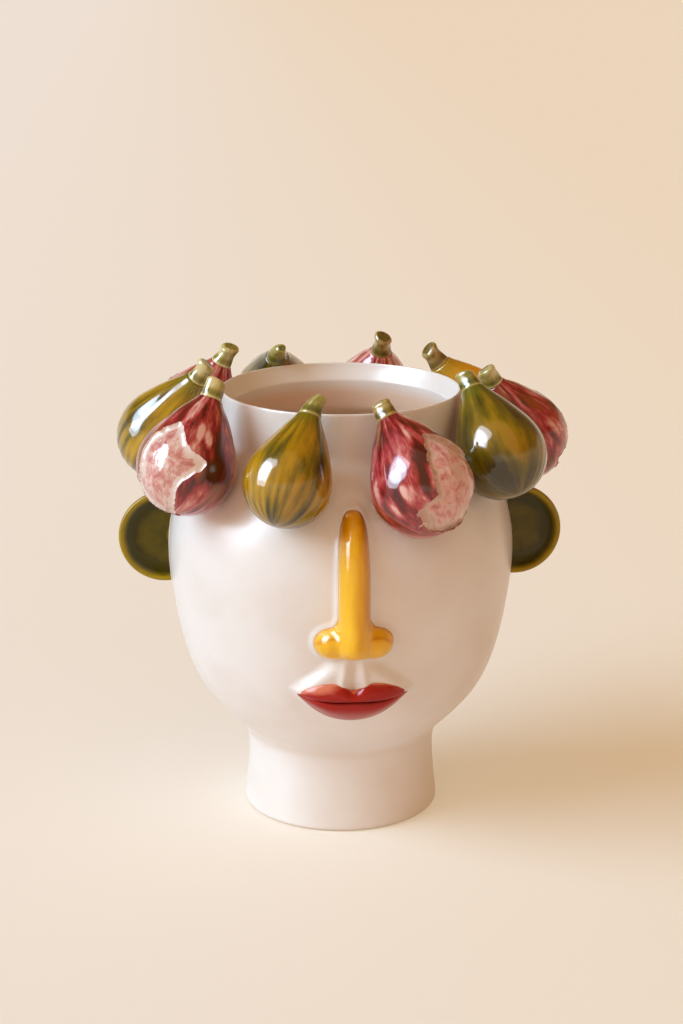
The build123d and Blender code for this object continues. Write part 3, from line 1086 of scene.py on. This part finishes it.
@dataclass(frozen=True)
class Lips:
    """Two full lips with a clear mouth line: each station gives the edges from the middle out to the corner."""

    stations: tuple[float, ...] = (25.0, 24.4, 22.5, 19.5, 15.5, 11.5, 8.0, 4.0)
    across: tuple[float, ...] = (0, 3.5, 7.5, 11.0, 15.0, 20.0, 25.0)
    line: tuple[float, ...] = (78.9, 78.6, 78.3, 78.3, 78.6, 79.1, 79.7)
    top: tuple[float, ...] = (82.6, 85.2, 87.1, 87.0, 86.2, 84.2, 80.4)
    bottom: tuple[float, ...] = (65.2, 65.4, 66.2, 67.3, 69.4, 73.6, 79.2)
    upper_depth: float = 3.6
    lower_depth: float = 5.0
    edge_depth: float = 0.7
    line_depth: float = 3.2
    upper_lean: float = 0.62
    lower_lean: float = 1.25
    overlap: float = 0.2
    sink: float = 1.2
    corner: float = 0.12
    points: int = 16

    def section(self, head: Head, kind: LipKind, across: float) -> np.ndarray:
        """One upright section of a lip as a loop of points.

        Args:
            head: the head that carries the lips.
            kind: which lip.
            across: distance from the middle of the face.

        Returns:
            The points in order.
        """
        side = abs(across)
        line = np.interp(side, self.across, self.line)
        if kind is LipKind.UPPER:
            low, high = line - self.overlap, np.interp(side, self.across, self.top)
            depth, lean = self.upper_depth, self.upper_lean
        else:
            low, high = np.interp(side, self.across, self.bottom), line + self.overlap
            depth, lean = self.lower_depth, self.lower_lean
        taper = max(1 - (side / self.across[-1]) ** 2.6, self.corner)
        angles = np.linspace(0, 2 * math.pi, self.points, endpoint=False)
        share = 0.5 - 0.5 * np.cos(angles)
        height = low + (high - low) * share
        bulge = depth * taper * np.sin(math.pi * share**lean) ** 0.75
        near_line = 1 - share if kind is LipKind.UPPER else share
        edge = self.edge_depth + (self.line_depth - self.edge_depth) * taper * near_line**2
        base = head.surface(np.full(self.points, across), height)
        out = np.where(np.sin(angles) >= 0, edge + bulge, -self.sink)
        return np.stack([np.full(self.points, across), -(base + out), height], axis=1)

    def build(self, head: Head, kind: LipKind) -> Piece:
        """Lofts one lip from corner to corner.

        Args:
            head: the head that carries the lips.
            kind: which lip.

        Returns:
            The lip without its material.
        """
        across = [-station for station in self.stations] + [0.0] + list(self.stations[::-1])
        sections = np.array([self.section(head, kind, station) for station in across])
        lip = lofted(f"{kind.value}_lip_relief", sections)
        smooth(lip, 2)
        coords = coords_of(lip)
        side = np.abs(coords[:, 0])
        line = np.interp(side, self.across, self.line)
        edge = np.interp(side, self.across, self.top if kind is LipKind.UPPER else self.bottom)
        share = np.clip((coords[:, 2] - edge) / (line - edge + 1e-6), 0, 1)
        middle = 1 - step_up(8, 20, side)
        left = step_up(2, 14, -coords[:, 0]) + 0.3 * step_up(2, 14, coords[:, 0]) if kind is LipKind.UPPER else 0.0
        # Darker towards the mouth line, most in the middle: pooled glaze and painted shade; salmon where it thins at
        # the outer edge
        depth = 0.36 + (0.25 + 0.3 * middle) * share**3 - 0.3 * (1 - step_up(0, 0.14, share))
        # Painted light: salmon on the upper lip's window side, and a painted highlight band across the lower lip
        painted_light = 0.42 * left * (1 - step_up(0.2, 0.9, share))
        if kind is LipKind.LOWER:
            painted_light = 0.3 * np.exp(-(((share - 0.8) / 0.1) ** 2)) * (1 - step_up(8, 18, side))
        store(lip, "depth", depth - painted_light)
        return lip


@dataclass(frozen=True)
class Ear:
    """One ear: a round dish with a raised edge, cut where it meets the head."""

    radius: float = 22.2
    thickness: float = 8.0
    dish: float = 4.8
    edge: float = 2.6
    centre: float = 83.3
    height: float = 134.69
    steps: int = 48

    def cutter(self, outline: HeadOutline) -> Piece:
        """The head as a solid, to cut the ear with.

        Args:
            outline: the head's outline.

        Returns:
            The solid, which is removed after the cut.
        """
        points = [(0, outline.points[0][1])] + [(r + 0.05, z) for r, z in outline.points]
        points.append((0, outline.points[-1][1]))
        return turned("ear_cutter", points, ((2 * self.steps, 360.0),))

    def build(self, side: int, outline: HeadOutline) -> Piece:
        """Turns the dish, stands it up facing forward and cuts it to the head.

        Args:
            side: -1 for the left ear and 1 for the right one.
            outline: the head's outline.

        Returns:
            The ear without its material.
        """
        r, t = self.radius, self.thickness
        points = [
            (0, 0), (r * 0.3, 0.05), (r * 0.55, 0.3), (r * 0.78, 1.3), (r * 0.93, 3.2), (r, t * 0.66),
            (r - 0.2, t - 0.9), (r - 1.0, t - 0.1), (r - self.edge + 0.8, t - 0.3), (r - self.edge - 0.4, t - 1.2),
            (r - self.edge - 2.4, t - 0.62 * self.dish), (r * 0.62, t - 0.86 * self.dish),
            (r * 0.35, t - 0.98 * self.dish), (0, t - self.dish),
        ]
        name = "ear_left_dish" if side < 0 else "ear_right_dish"
        ear = turned(name, points, ((self.steps, 360.0),))
        smooth(ear, 2)
        coords = coords_of(ear)
        away = reach_of(coords)
        high = coords[:, 2]
        front = step_up(0.5, 2.5, high)
        pool = 0.3 * np.exp(-(((away - 0.72 * r) / 3.2) ** 2)) * front
        depth = 0.55 + pool - 0.75 * step_up(r - 4.6, r - 1.2, away) * front
        store(ear, "depth", np.clip(depth, 0, 1))
        spot = Vector((side * self.centre, self.thickness / 2, self.height)) * MM
        place(ear, Matrix.Translation(spot) @ Matrix.Rotation(math.radians(90), 4, "X"))
        tool = self.cutter(outline)
        finish_with(ear, "BOOLEAN", operation="DIFFERENCE", object=tool, solver="EXACT")
        bpy.data.objects.remove(tool)
        smooth(ear, 0)
        return ear


# The figs


class FigKind(Enum):
    """The moulds that the figs come from: a red fig tears in a star or all down one side."""

    RED = "red"
    SPLIT = "split red"
    GREEN = "green"


class StalkKind(Enum):
    """How a stalk was cut and bent."""

    STUB = "stub"
    BENT = "bent"
    LONG = "long"


@dataclass(frozen=True)
class FigPlace:
    """Where one fig sits on the shoulder, how large it was cast and how it leans."""

    kind: FigKind
    azimuth: float
    radius: float
    height: float
    size: float
    tilt: float
    lean: float
    turn: float
    mirror: int
    glaze: Glaze
    stalk: StalkKind
    stalk_turn: float
    stalk_glaze: Glaze


@dataclass(frozen=True)
class FigMould:
    """A fig mould: a pear outline turned and ribbed lengthwise, with a patch of torn skin on the red ones."""

    kind: FigKind
    slot: str
    outline: tuple[tuple[float, float], ...]
    length: float
    ribs: int
    rib_height: float
    steps: int = 32
    tear: tuple[tuple[float, float], ...] = ()
    tear_turn: float = 30.0
    rind: float = 1.3
    peel_radius: float = 20.0
    # Brush strokes: turn, height, half width, half length and how much paler (or darker) each one is
    strokes: tuple[tuple[float, float, float, float, float], ...] = ()

    def tear_distance(self, coords: np.ndarray) -> np.ndarray:
        """How far inside the torn patch each point lies, negative outside it.

        Args:
            coords: points in the fig's own frame.

        Returns:
            Distances in millimetres.
        """
        angle = math.radians(self.tear_turn)
        facing = coords[:, 0] * math.cos(angle) + coords[:, 1] * math.sin(angle)
        across = -coords[:, 0] * math.sin(angle) + coords[:, 1] * math.cos(angle)
        flat = np.stack([across, coords[:, 2]], axis=1)
        corners = np.array(self.tear)
        best = np.full(len(flat), FAR)
        inside = np.zeros(len(flat), dtype=bool)
        for start, end in zip(corners, np.roll(corners, -1, axis=0)):
            side = end - start
            share = np.clip((flat - start) @ side / (side @ side), 0, 1)
            best = np.minimum(best, np.linalg.norm(flat - start - share[:, None] * side, axis=1))
            crosses = (start[1] > flat[:, 1]) != (end[1] > flat[:, 1])
            rise = end[1] - start[1] if abs(end[1] - start[1]) > 1e-9 else 1e-9
            inside ^= crosses & (flat[:, 0] < start[0] + (flat[:, 1] - start[1]) / rise * side[0])
        distance = np.where(inside, np.minimum(best, 0.7 * (facing - 3)), -best)
        distance = np.where(facing > 0, distance, np.minimum(distance, -2))
        return distance + 0.6 * grain(coords, 3.2, 3.1) + 0.35 * grain(coords, 1.2, 8.2)

    def build(self) -> Piece:
        """Turns the pear, raises its ribs and sinks the torn patch.

        Returns:
            The fig in its own frame: the bulb's centre at the origin, the stalk along +Z, outwards along +X.
        """
        fig = turned(f"{self.kind.value}_mould", list(self.outline), ((self.steps, 360.0),))
        smooth(fig, 3)
        coords = coords_of(fig)
        angle = np.arctan2(coords[:, 1], coords[:, 0])
        up = coords[:, 2]
        reach = reach_of(coords)
        wander = 0.8 * np.sin(3 * angle + 1.0) + 0.5 * np.sin(5 * angle + up / 9) + 0.5 * np.sin(2 * angle - up / 7)
        rib = 0.5 + 0.5 * np.cos(self.ribs * angle + wander)
        broad = max(radius for radius, _ in self.outline)
        low = (1 - step_up(-7, 9, up)) * step_up(0.25, 0.6, reach / broad)
        store(fig, "stripe", (rib - 0.5) * low)
        store(fig, "peel", peel_of(angle, up, self.peel_radius))
        fold = 0.5 + 0.5 * np.cos(9 * angle + 1.5 * wander)
        high = step_up(2, 12, up) * (1 - step_up(20, 30, up))
        heights = self.rib_height * (rib * low + 2.2 * fold * high)
        tone = np.zeros(len(coords))
        for turn, height, wide, tall, shade in self.strokes:
            off = np.abs((angle - math.radians(turn) + math.pi) % (2 * math.pi) - math.pi) * np.maximum(reach, 5)
            tone += shade * np.exp(-(((off / wide) ** 2 + ((up - height) / tall) ** 2) ** 2))
        store(fig, "tone", tone)
        if self.tear:
            tear = self.tear_distance(coords)
            store(fig, "tear", tear)
            drop = self.rind * step_up(-0.1, 0.8, tear) - 0.9 * step_up(2.0, 9, tear)
            strings = np.abs(grain(coords * np.array([1, 1, 0.5]), 3.4, 5.5))
            lumps = 0.35 * grain(coords, 5.0, 2.2) * step_up(2.0, 4.5, tear)
            heights = heights * (1 - step_up(0, 0.5, tear)) - drop + lumps
            heights += (0.3 * strings + 0.16 * grain(coords, 1.5, 7.7)) * step_up(1.6, 3.4, tear)
        raise_by(fig, heights)
        return fig


@dataclass(frozen=True)
class StalkMould:
    """A stalk cut short: it flares over the fig's neck, narrows and ends in a slanted cut."""

    kind: StalkKind
    length: float
    waist: float
    end: float
    slant: float
    bend: float
    base: float = 5.5
    peel_radius: float = 5.0
    steps: int = 16

    def build(self) -> Piece:
        """Turns the stalk in a fig's frame, with its base at the origin, bends it and slants its cut.

        Returns:
            The stalk without its material.
        """
        base, waist, end, top = self.base, self.waist, self.end, self.length
        outline = [
            (0, -0.6), (base - 1.0, -0.6), (base - 0.35, -0.1), (base - 0.12, 0.4), (base - 0.6, 1.7),
            (waist + 0.4, top * 0.36), (waist, top * 0.56), (waist * 0.45 + end * 0.55, top * 0.75), (end, top - 1.9),
            (end - 0.35, top - 0.8), (end - 1.2, top - 0.1), (end - 2.1, top - 0.05), (end - 2.9, top - 0.3),
            (0, top - 0.35),
        ]
        stalk = turned(f"{self.kind.value}_stalk_mould", outline, ((self.steps, 360.0),))
        smooth(stalk, 2)
        coords = coords_of(stalk)
        angle = np.arctan2(coords[:, 1], coords[:, 0])
        reach = reach_of(coords)
        up = coords[:, 2].copy()
        store(stalk, "peel", peel_of(angle, up, self.peel_radius))
        cut = (1 - step_up(end - 1.9, end - 1.0, reach)) * step_up(top - 1.6, top - 0.6, up)
        foot = step_up(0.6, 1.8, up) * (1 - step_up(2.4, 5.0, up))
        store(stalk, "depth", 0.35 * foot + 0.4 * cut - 0.15 * (1 - step_up(0.2, 1.0, up)))
        coords[:, 2] += step_up(top * 0.45, top, up) * self.slant * coords[:, 0]
        coords[:, 0] += self.bend * (np.clip(up, 0, None) / top) ** 2
        coords[:, :2] *= (1 + 0.05 * np.cos(3 * angle + 1.0) * step_up(1, 3, up))[:, None]
        move_to(stalk, coords)
        return stalk


@dataclass(frozen=True)
class FigRing:
    """The ring of ten figs, red and green in turn."""

    places: tuple[FigPlace, ...]
    moulds: tuple[FigMould, ...]
    stalks: tuple[StalkMould, ...]
    gap: float = 0.1
    collar: float = 0.15
    # How much, and over what size, a cast gives way while it is handled soft
    handling: float = 0.22
    handling_size: float = 19.0

    def frame_of(self, spot: FigPlace) -> Matrix:
        """The fig's own frame on the shoulder, in metres.

        Args:
            spot: where the fig sits.

        Returns:
            The matrix from the fig's frame to the vase's.
        """
        around = math.radians(spot.azimuth)
        out = Vector((math.sin(around), -math.cos(around), 0))
        sideways = Vector((math.cos(around), math.sin(around), 0))
        tilt, lean = math.radians(spot.tilt), math.radians(spot.lean)
        axis = Vector((0, 0, 1)) * math.cos(tilt) - out * math.sin(tilt)
        axis = axis * math.cos(lean) + sideways * math.sin(lean)
        x_way = (out - axis * out.dot(axis)).normalized()
        y_way = axis.cross(x_way)
        centre = (out * spot.radius + Vector((0, 0, spot.height))) * MM
        rows = [(x_way[i], y_way[i], axis[i], centre[i]) for i in range(3)]
        return Matrix((*rows, (0, 0, 0, 1)))

    def build(self, outline: HeadOutline) -> list[Piece]:
        """Copies the moulds round the ring and presses each fig onto the shoulder.

        Args:
            outline: the head's outline.

        Returns:
            The figs and stalks, dressed.
        """
        moulds = {mould.kind: mould for mould in self.moulds}
        casts = {mould.kind: mould.build() for mould in (*self.moulds, *self.stalks)}
        pieces = []
        for number, spot in enumerate(self.places, start=1):
            mould = moulds[spot.kind]
            where = self.frame_of(spot)
            # A mirrored patch still faces the tear's own side
            turn = spot.turn + (2 * mould.tear_turn if spot.mirror < 0 else 0)
            pose = Matrix.Rotation(math.radians(turn), 4, "Z") @ Matrix.Diagonal((1, spot.mirror, 1, 1))
            fig = copy_of(casts[spot.kind], f"fig_{number:02d}_fruit")
            place(fig, where @ pose @ Matrix.Scale(spot.size, 4))
            if spot.mirror < 0:
                tidy_mesh(fig)
            self.press_by_hand(fig, number)
            move_to(fig, outline.press(coords_of(fig), self.gap))
            smooth(fig, 0)
            dress(fig, spot.glaze, f"fig_{number:02d}")
            stalk = copy_of(casts[spot.stalk], f"stalk_{number:02d}_cut")
            up = Matrix.Translation((0, 0, (mould.length * spot.size - self.collar) * MM))
            place(stalk, where @ up @ Matrix.Rotation(math.radians(spot.stalk_turn), 4, "Z"))
            smooth(stalk, 0)
            dress(stalk, spot.stalk_glaze, f"stalk_{number:02d}")
            pieces += [fig, stalk]
        for cast in casts.values():
            bpy.data.objects.remove(cast)
        return pieces

    def press_by_hand(self, fig: Piece, number: int) -> None:
        """Leaves the slow unevenness of a cast that was handled while soft, different on each fig."""
        raise_by(fig, self.handling * grain(coords_of(fig), self.handling_size, 2.3 * number) - 0.1)


RED, SPLIT, GREEN = FigKind
STUB, BENT, LONG = StalkKind
FIG_GLAZES = (
    RedFigGlaze("crimson fig glaze 1", seed=0.3),
    GreenFigGlaze("olive fig glaze 2", seed=0.7, gold=0.58),
    # Fig 3 sits on the side away from the window: its pith and white are painted darker, as painted shade
    RedFigGlaze("crimson fig glaze 3", seed=1.1, pith="#C8A08C", white="#D8B8A8"),
    GreenFigGlaze("olive fig glaze 4", seed=1.9, gold=0.28, stripe=0.0, streak=0.7, cloud=1.3, light="#A87208"),
    RedFigGlaze("crimson fig glaze 5", seed=2.3),
    GreenFigGlaze(
        "olive fig glaze 6", seed=2.9, gold=0.86, stripe=0.1,
        light="#E4A002", ochre="#CE9004", olive="#A07C0C", green="#8C801C",
    ),
    RedFigGlaze("crimson fig glaze 7", seed=3.7, rose=0.66),
    GreenFigGlaze("olive fig glaze 8", seed=4.1, gold=0.4, green="#4A4C10"),
    RedFigGlaze("crimson fig glaze 9", seed=4.9, rose=0.62),
    GreenFigGlaze("olive fig glaze 10", seed=5.3, gold=0.52, light="#C29A0C", ochre="#A48008"),
)
FIG_PLACES = tuple(
    FigPlace(*row[:9], glaze, *row[9:])
    for glaze, row in zip(
        FIG_GLAZES,
        (
            (RED, -56.5, 87.17, 180.29, 1.0, 28, -4, 0, 1, STUB, 20, PALE_STALK),
            (GREEN, -20.19, 84.21, 179.07, 0.97, 32, 9, 0, 1, BENT, 80, GREEN_STALK),
            (SPLIT, 19.42, 88.95, 178.91, 1.03, 34, -14, 0, 1, STUB, 160, OLIVE_STALK),
            (GREEN, 56.9, 83.45, 181.9, 1.02, 36, 15, 40, 1, STUB, 220, GREEN_STALK),
            (RED, 90.77, 86.41, 179.76, 0.96, 30, -10, 0, 1, STUB, 300, PALE_STALK),
            (GREEN, 120.56, 83.92, 180.55, 1.0, 37, 14, 80, 1, LONG, 10, OLIVE_STALK),
            (RED, 165.69, 87.97, 179.12, 1.0, 28, -13, 0, -1, LONG, 90, OLIVE_STALK),
            (GREEN, 198.98, 82.15, 183.67, 1.02, 42, 14, 130, 1, BENT, 200, GREEN_STALK),
            (RED, 232.57, 88.18, 178.4, 0.99, 27, -11, 0, 1, LONG, 250, PALE_STALK),
            (GREEN, 263.06, 84.99, 180.47, 1.04, 33, 12, 200, 1, LONG, 40, PALE_STALK),
        ),
    )
)

RED_MOULD = FigMould(
    RED,
    "red_fig_glaze",
    (
        (0, -22.4), (5.1, -22.0), (10.9, -20.1), (16.0, -16.3), (19.9, -11.3), (22.4, -5.3), (23.05, 0.6),
        (22.3, 5.6), (20.3, 10.5), (17.4, 15.4), (14.5, 20.0), (11.8, 24.4), (9.3, 27.8), (7.0, 30.2), (5.9, 32.3),
        (5.3, 32.7), (0, 32.7),
    ),
    32.8,
    23,
    0.1,
    tear=(
        (-2.5, 16.4), (1.8, 12.6), (4.5, 8.5), (8.0, 5.4), (11.0, 4.6), (16.6, 2.4), (14.0, -2.4), (9.1, -8.2),
        (6.9, -12.1), (5.6, -17.7), (3.8, -23.0), (-6.5, -25.5), (-16.0, -23.0), (-21.5, -15.5), (-16.5, -13.0),
        (-13.2, -10.2), (-13.9, -6.1), (-14.4, 0.3), (-12.4, 6.4), (-8.2, 11.0),
    ),
    strokes=(
        (59, 14.7, 1.5, 4.4, 0.6), (72, 13.2, 1.8, 4.0, 0.6), (57, 6.6, 3.0, 3.4, 0.2), (88, 12.0, 2.4, 9.0, -0.26),
        (62, 24.0, 2.6, 5.0, -0.1), (84, -0.5, 4.0, 5.0, -0.22), (104, -1.5, 5.0, 7.5, -0.34),
        (66, -11.0, 4.0, 5.0, -0.16), (92, -12.5, 2.4, 5.0, 0.28), (84, -17.5, 2.6, 4.0, 0.24),
        (125, 8.0, 4.0, 9.0, 0.12), (30, 24.0, 2.4, 6.0, 0.24),
    ),
)
SPLIT_MOULD = replace(
    RED_MOULD,
    kind=SPLIT,
    strokes=(
        (-4, 20.0, 1.3, 5.5, 0.16), (-9, 7.5, 2.8, 5.0, -0.2), (-11, -3.0, 3.4, 5.5, -0.26),
        (-37, 24.0, 2.6, 5.0, -0.14), (-56, -7.2, 1.6, 6.5, 0.1), (-50, -13.0, 2.0, 5.0, 0.1),
        (-86, -8.0, 2.0, 7.0, 0.24), (-72, 5.0, 2.0, 5.0, 0.12), (-40, -3.5, 1.8, 6.5, 0.14),
        (-66, 14.0, 2.6, 6.0, -0.12), (-30, -16.0, 2.0, 5.0, 0.2),
    ),
    tear=(
        (-2.9, 17.3), (3.2, 14.4), (8.2, 9.6), (13.2, 5.2), (20.0, 2.5), (21.0, -8.0), (17.0, -16.0), (9.0, -22.5),
        (0.0, -26.0), (-8.4, -23.5), (-14.2, -17.4), (-17.6, -12.5), (-15.4, -11.2), (-11.9, -10.2), (-12.5, -4.4),
        (-10.9, 5.9),
    ),
)
FIG_MOULDS = (
    RED_MOULD,
    SPLIT_MOULD,
    FigMould(
        GREEN,
        "green_fig_glaze",
        (
            (0, -20.0), (4.6, -19.6), (9.6, -17.9), (14.4, -14.4), (18.0, -9.7), (20.2, -4.0), (20.7, 1.4),
            (19.9, 6.2), (18.1, 11.0), (15.7, 15.7), (13.2, 20.4), (11.0, 24.6), (8.9, 28.2), (7.0, 31.0),
            (5.9, 33.5), (5.3, 33.9), (0, 33.9),
        ),
        34.0,
        24,
        0.12,
    ),
)

STALK_MOULDS = (
    StalkMould(STUB, 8.8, 4.6, 4.7, 0.2, 0.5),
    StalkMould(BENT, 10.2, 3.9, 3.0, -0.1, 3.0),
    StalkMould(LONG, 10.0, 4.0, 4.7, 0.25, 0.4),
)


# Stage


@dataclass(frozen=True)
class Lamp:
    """One distant round soft light: its irradiance, how wide it looks from the vase and where it stands."""

    name: str
    power: float
    width: float
    azimuth: float
    height: float
    tint: str
    gleam: bool = False

    def build(self) -> None:
        """Adds the light, aimed at the vase; one that is only a gleam shows in the glaze and lights nothing."""
        around, rise = math.radians(self.azimuth), math.radians(self.height)
        way = Vector((math.sin(around) * math.cos(rise), -math.cos(around) * math.cos(rise), math.sin(rise)))
        bpy.ops.object.light_add(type="SUN", location=way)
        light = bpy.context.object
        light.name = self.name
        light.visible_diffuse = not self.gleam
        light.data.energy = self.power
        light.data.angle = math.radians(self.width)
        light.data.color = linear(self.tint)[:3]
        light.rotation_euler = way.to_track_quat("Z", "Y").to_euler()


@dataclass(frozen=True)
class Studio:
    """A warm paper floor in a warm room with a pale horizon, a window on the left and a wide weak light in front."""

    floor_size: float = 60.0
    floor_cuts: int = 8
    # Painted light: the floor and its glow turn darker and warmer away from the window
    floor_colours: tuple[str, str] = ("#FEF9F6", "#F9EFE4")
    floor_turn: tuple[float, float] = (-0.6, 0.7)
    paper_lift: float = 0.36
    paper_pale: tuple[str, str] = ("#FFF4DE", "#FFE3B2")
    # The horizon band turns the same way, painted falloff of the window's light
    horizon: tuple[str, str] = ("#EEE1D3", "#ECD5B9")
    horizon_turn: tuple[float, float] = (-0.05, 0.05)
    horizon_heights: tuple[float, float] = (0.16, 0.34)
    room_colour: str = "#FFBC76"
    room_strength: float = 0.34
    lamps: tuple[Lamp, ...] = (
        Lamp("window", 3.08, 44.0, -78.0, 33.0, "#C0E3FF"),
        Lamp("window top", 2.0, 34.0, -78.0, 48.0, "#DCEAFF", gleam=True),
        Lamp("window middle", 1.6, 38.0, -78.0, 33.0, "#DCEAFF", gleam=True),
        Lamp("window bottom", 2.0, 34.0, -78.0, 18.0, "#DCEAFF", gleam=True),
        Lamp("front", 0.82, 110.0, -20.0, 38.0, "#FFDDB2"),
    )
    camera_spot: tuple[float, float, float] = (-0.0733, -1.00325, 0.42932)
    camera_pitch: float = 0.276336
    camera_turn: float = -0.0733
    lens: float = 77.34
    sensor: float = 36.0

    def seen(self, tree: Tree) -> Socket:
        """Gives 1 where a surface is seen by the camera, in a reflection or through glass, and 0 elsewhere.

        Args:
            tree: the material's node tree.

        Returns:
            The share from 0 to 1.
        """
        path = add_node(tree, "LightPath").outputs
        direct = add_node(tree, "Math", {0: path["Is Camera Ray"], 1: path["Is Glossy Ray"]}, "Value")
        return add_node(tree, "Math", {0: direct, 1: path["Is Transmission Ray"]}, "Value", use_clamp=True)

    def across(self, tree: Tree, x: Socket, ends: tuple[float, float], codes: tuple[str, str]) -> Socket:
        """Turns from the first colour to the second between two places along X, away from the window: painted falloff
        of its light.

        Args:
            tree: the node tree.
            x: the place along X.
            ends: where the turn starts and ends.
            codes: the two colours.

        Returns:
            The colour.
        """
        inputs = {"Value": x, 1: ends[0], 2: ends[1]}
        far = add_node(tree, "MapRange", inputs, "Result", interpolation_type="SMOOTHSTEP")
        return add_node(tree, "Mix", {"Factor": far, 6: linear(codes[0]), 7: linear(codes[1])}, 2, data_type="RGBA")

    def paper(self) -> bpy.types.Material:
        """Matt paper that shows its shadows and looks a little paler to the camera and in reflections.

        Returns:
            The floor's material.
        """
        material = bpy.data.materials.new("matt paper floor")
        tree = empty_tree(material)
        where = add_node(tree, "TexCoord", out="Object")
        x = add_node(tree, "SeparateXYZ", {"Vector": where}, "X")
        base, pale = (self.across(tree, x, self.floor_turn, codes) for codes in (self.floor_colours, self.paper_pale))
        inputs = {"Base Color": base, "Roughness": 0.85, "Specular IOR Level": 0.0}
        matt = add_node(tree, "BsdfPrincipled", inputs, "BSDF")
        glow = add_node(tree, "Emission", {"Color": pale, "Strength": 1.0}, "Emission")
        share = add_node(tree, "Math", {0: self.seen(tree), 1: self.paper_lift}, "Value", operation="MULTIPLY")
        mixed = add_node(tree, "MixShader", {"Fac": share, 1: matt, 2: glow}, "Shader")
        add_node(tree, "OutputMaterial", {"Surface": mixed})
        return material

    def room(self) -> None:
        """Fills the room with weak warm light, and shows it pale just above the floor's far edge."""
        world = bpy.context.scene.world or bpy.data.worlds.new("room")
        bpy.context.scene.world = world
        tree = empty_tree(world)
        inputs = {"Color": linear(self.room_colour), "Strength": self.room_strength}
        dim = add_node(tree, "Background", inputs, "Background")
        way = add_node(tree, "TexCoord", out="Generated")
        split = add_node(tree, "SeparateXYZ", {"Vector": way}).outputs
        tone = self.across(tree, split["X"], self.horizon_turn, self.horizon)
        pale = add_node(tree, "Background", {"Color": tone, "Strength": 1.0}, "Background")
        low, high = self.horizon_heights
        inputs = {"Value": split["Z"], 1: low, 2: high, 3: 1.0, 4: 0.0}
        band = add_node(tree, "MapRange", inputs, "Result", interpolation_type="SMOOTHSTEP")
        share = add_node(tree, "Math", {0: self.seen(tree), 1: band}, "Value", operation="MULTIPLY")
        mixed = add_node(tree, "MixShader", {"Fac": share, 1: dim, 2: pale}, "Shader")
        add_node(tree, "OutputWorld", {"Surface": mixed})

    def build(self) -> None:
        """Lays the floor and sets the lights, the room and the camera."""
        deselect_all()
        bpy.ops.mesh.primitive_plane_add(size=self.floor_size)
        floor = bpy.context.object
        floor.name = "floor"
        bpy.ops.object.mode_set(mode="EDIT")
        bpy.ops.mesh.subdivide(number_cuts=self.floor_cuts)
        bpy.ops.object.mode_set(mode="OBJECT")
        floor.data.materials.append(self.paper())
        self.room()
        for lamp in self.lamps:
            lamp.build()
        bpy.ops.object.camera_add(location=self.camera_spot)
        camera = bpy.context.object
        camera.rotation_euler = (math.pi / 2 - self.camera_pitch, 0, self.camera_turn)
        camera.data.lens = self.lens
        camera.data.sensor_width = self.sensor
        bpy.context.scene.camera = camera
        bpy.context.scene.view_settings.view_transform = "Standard"


def main() -> None:
    """Builds the vase piece by piece and dresses it."""
    logging.basicConfig(level=logging.INFO, format="%(name)s: %(message)s")
    Studio().build()
    head_design = Head()
    head = head_design.build()
    neck = Neck().build()
    nose = Nose().build(head_design)
    lips = {kind: Lips().build(head_design, kind) for kind in LipKind}
    ears = {side: Ear().build(side, head_design.outline) for side in (-1, 1)}
    ring = FigRing(FIG_PLACES, FIG_MOULDS, STALK_MOULDS)
    figs = ring.build(head_design.outline)
    head_design.fillet(head, [nose, *lips.values()], [*ears.values(), *figs])
    dress(head, WHITE, "head_shell")
    dress(neck, WHITE, "neck_foot")
    dress(nose, YELLOW, "nose")
    dress(lips[LipKind.UPPER], BRICK, "upper_lip")
    dress(lips[LipKind.LOWER], BRICK, "lower_lip")
    dress(ears[-1], OLIVE, "ear_left")
    dress(ears[1], OLIVE, "ear_right")
    deselect_all()
    bpy.context.view_layer.update()


if __name__ == "__main__":
    main()
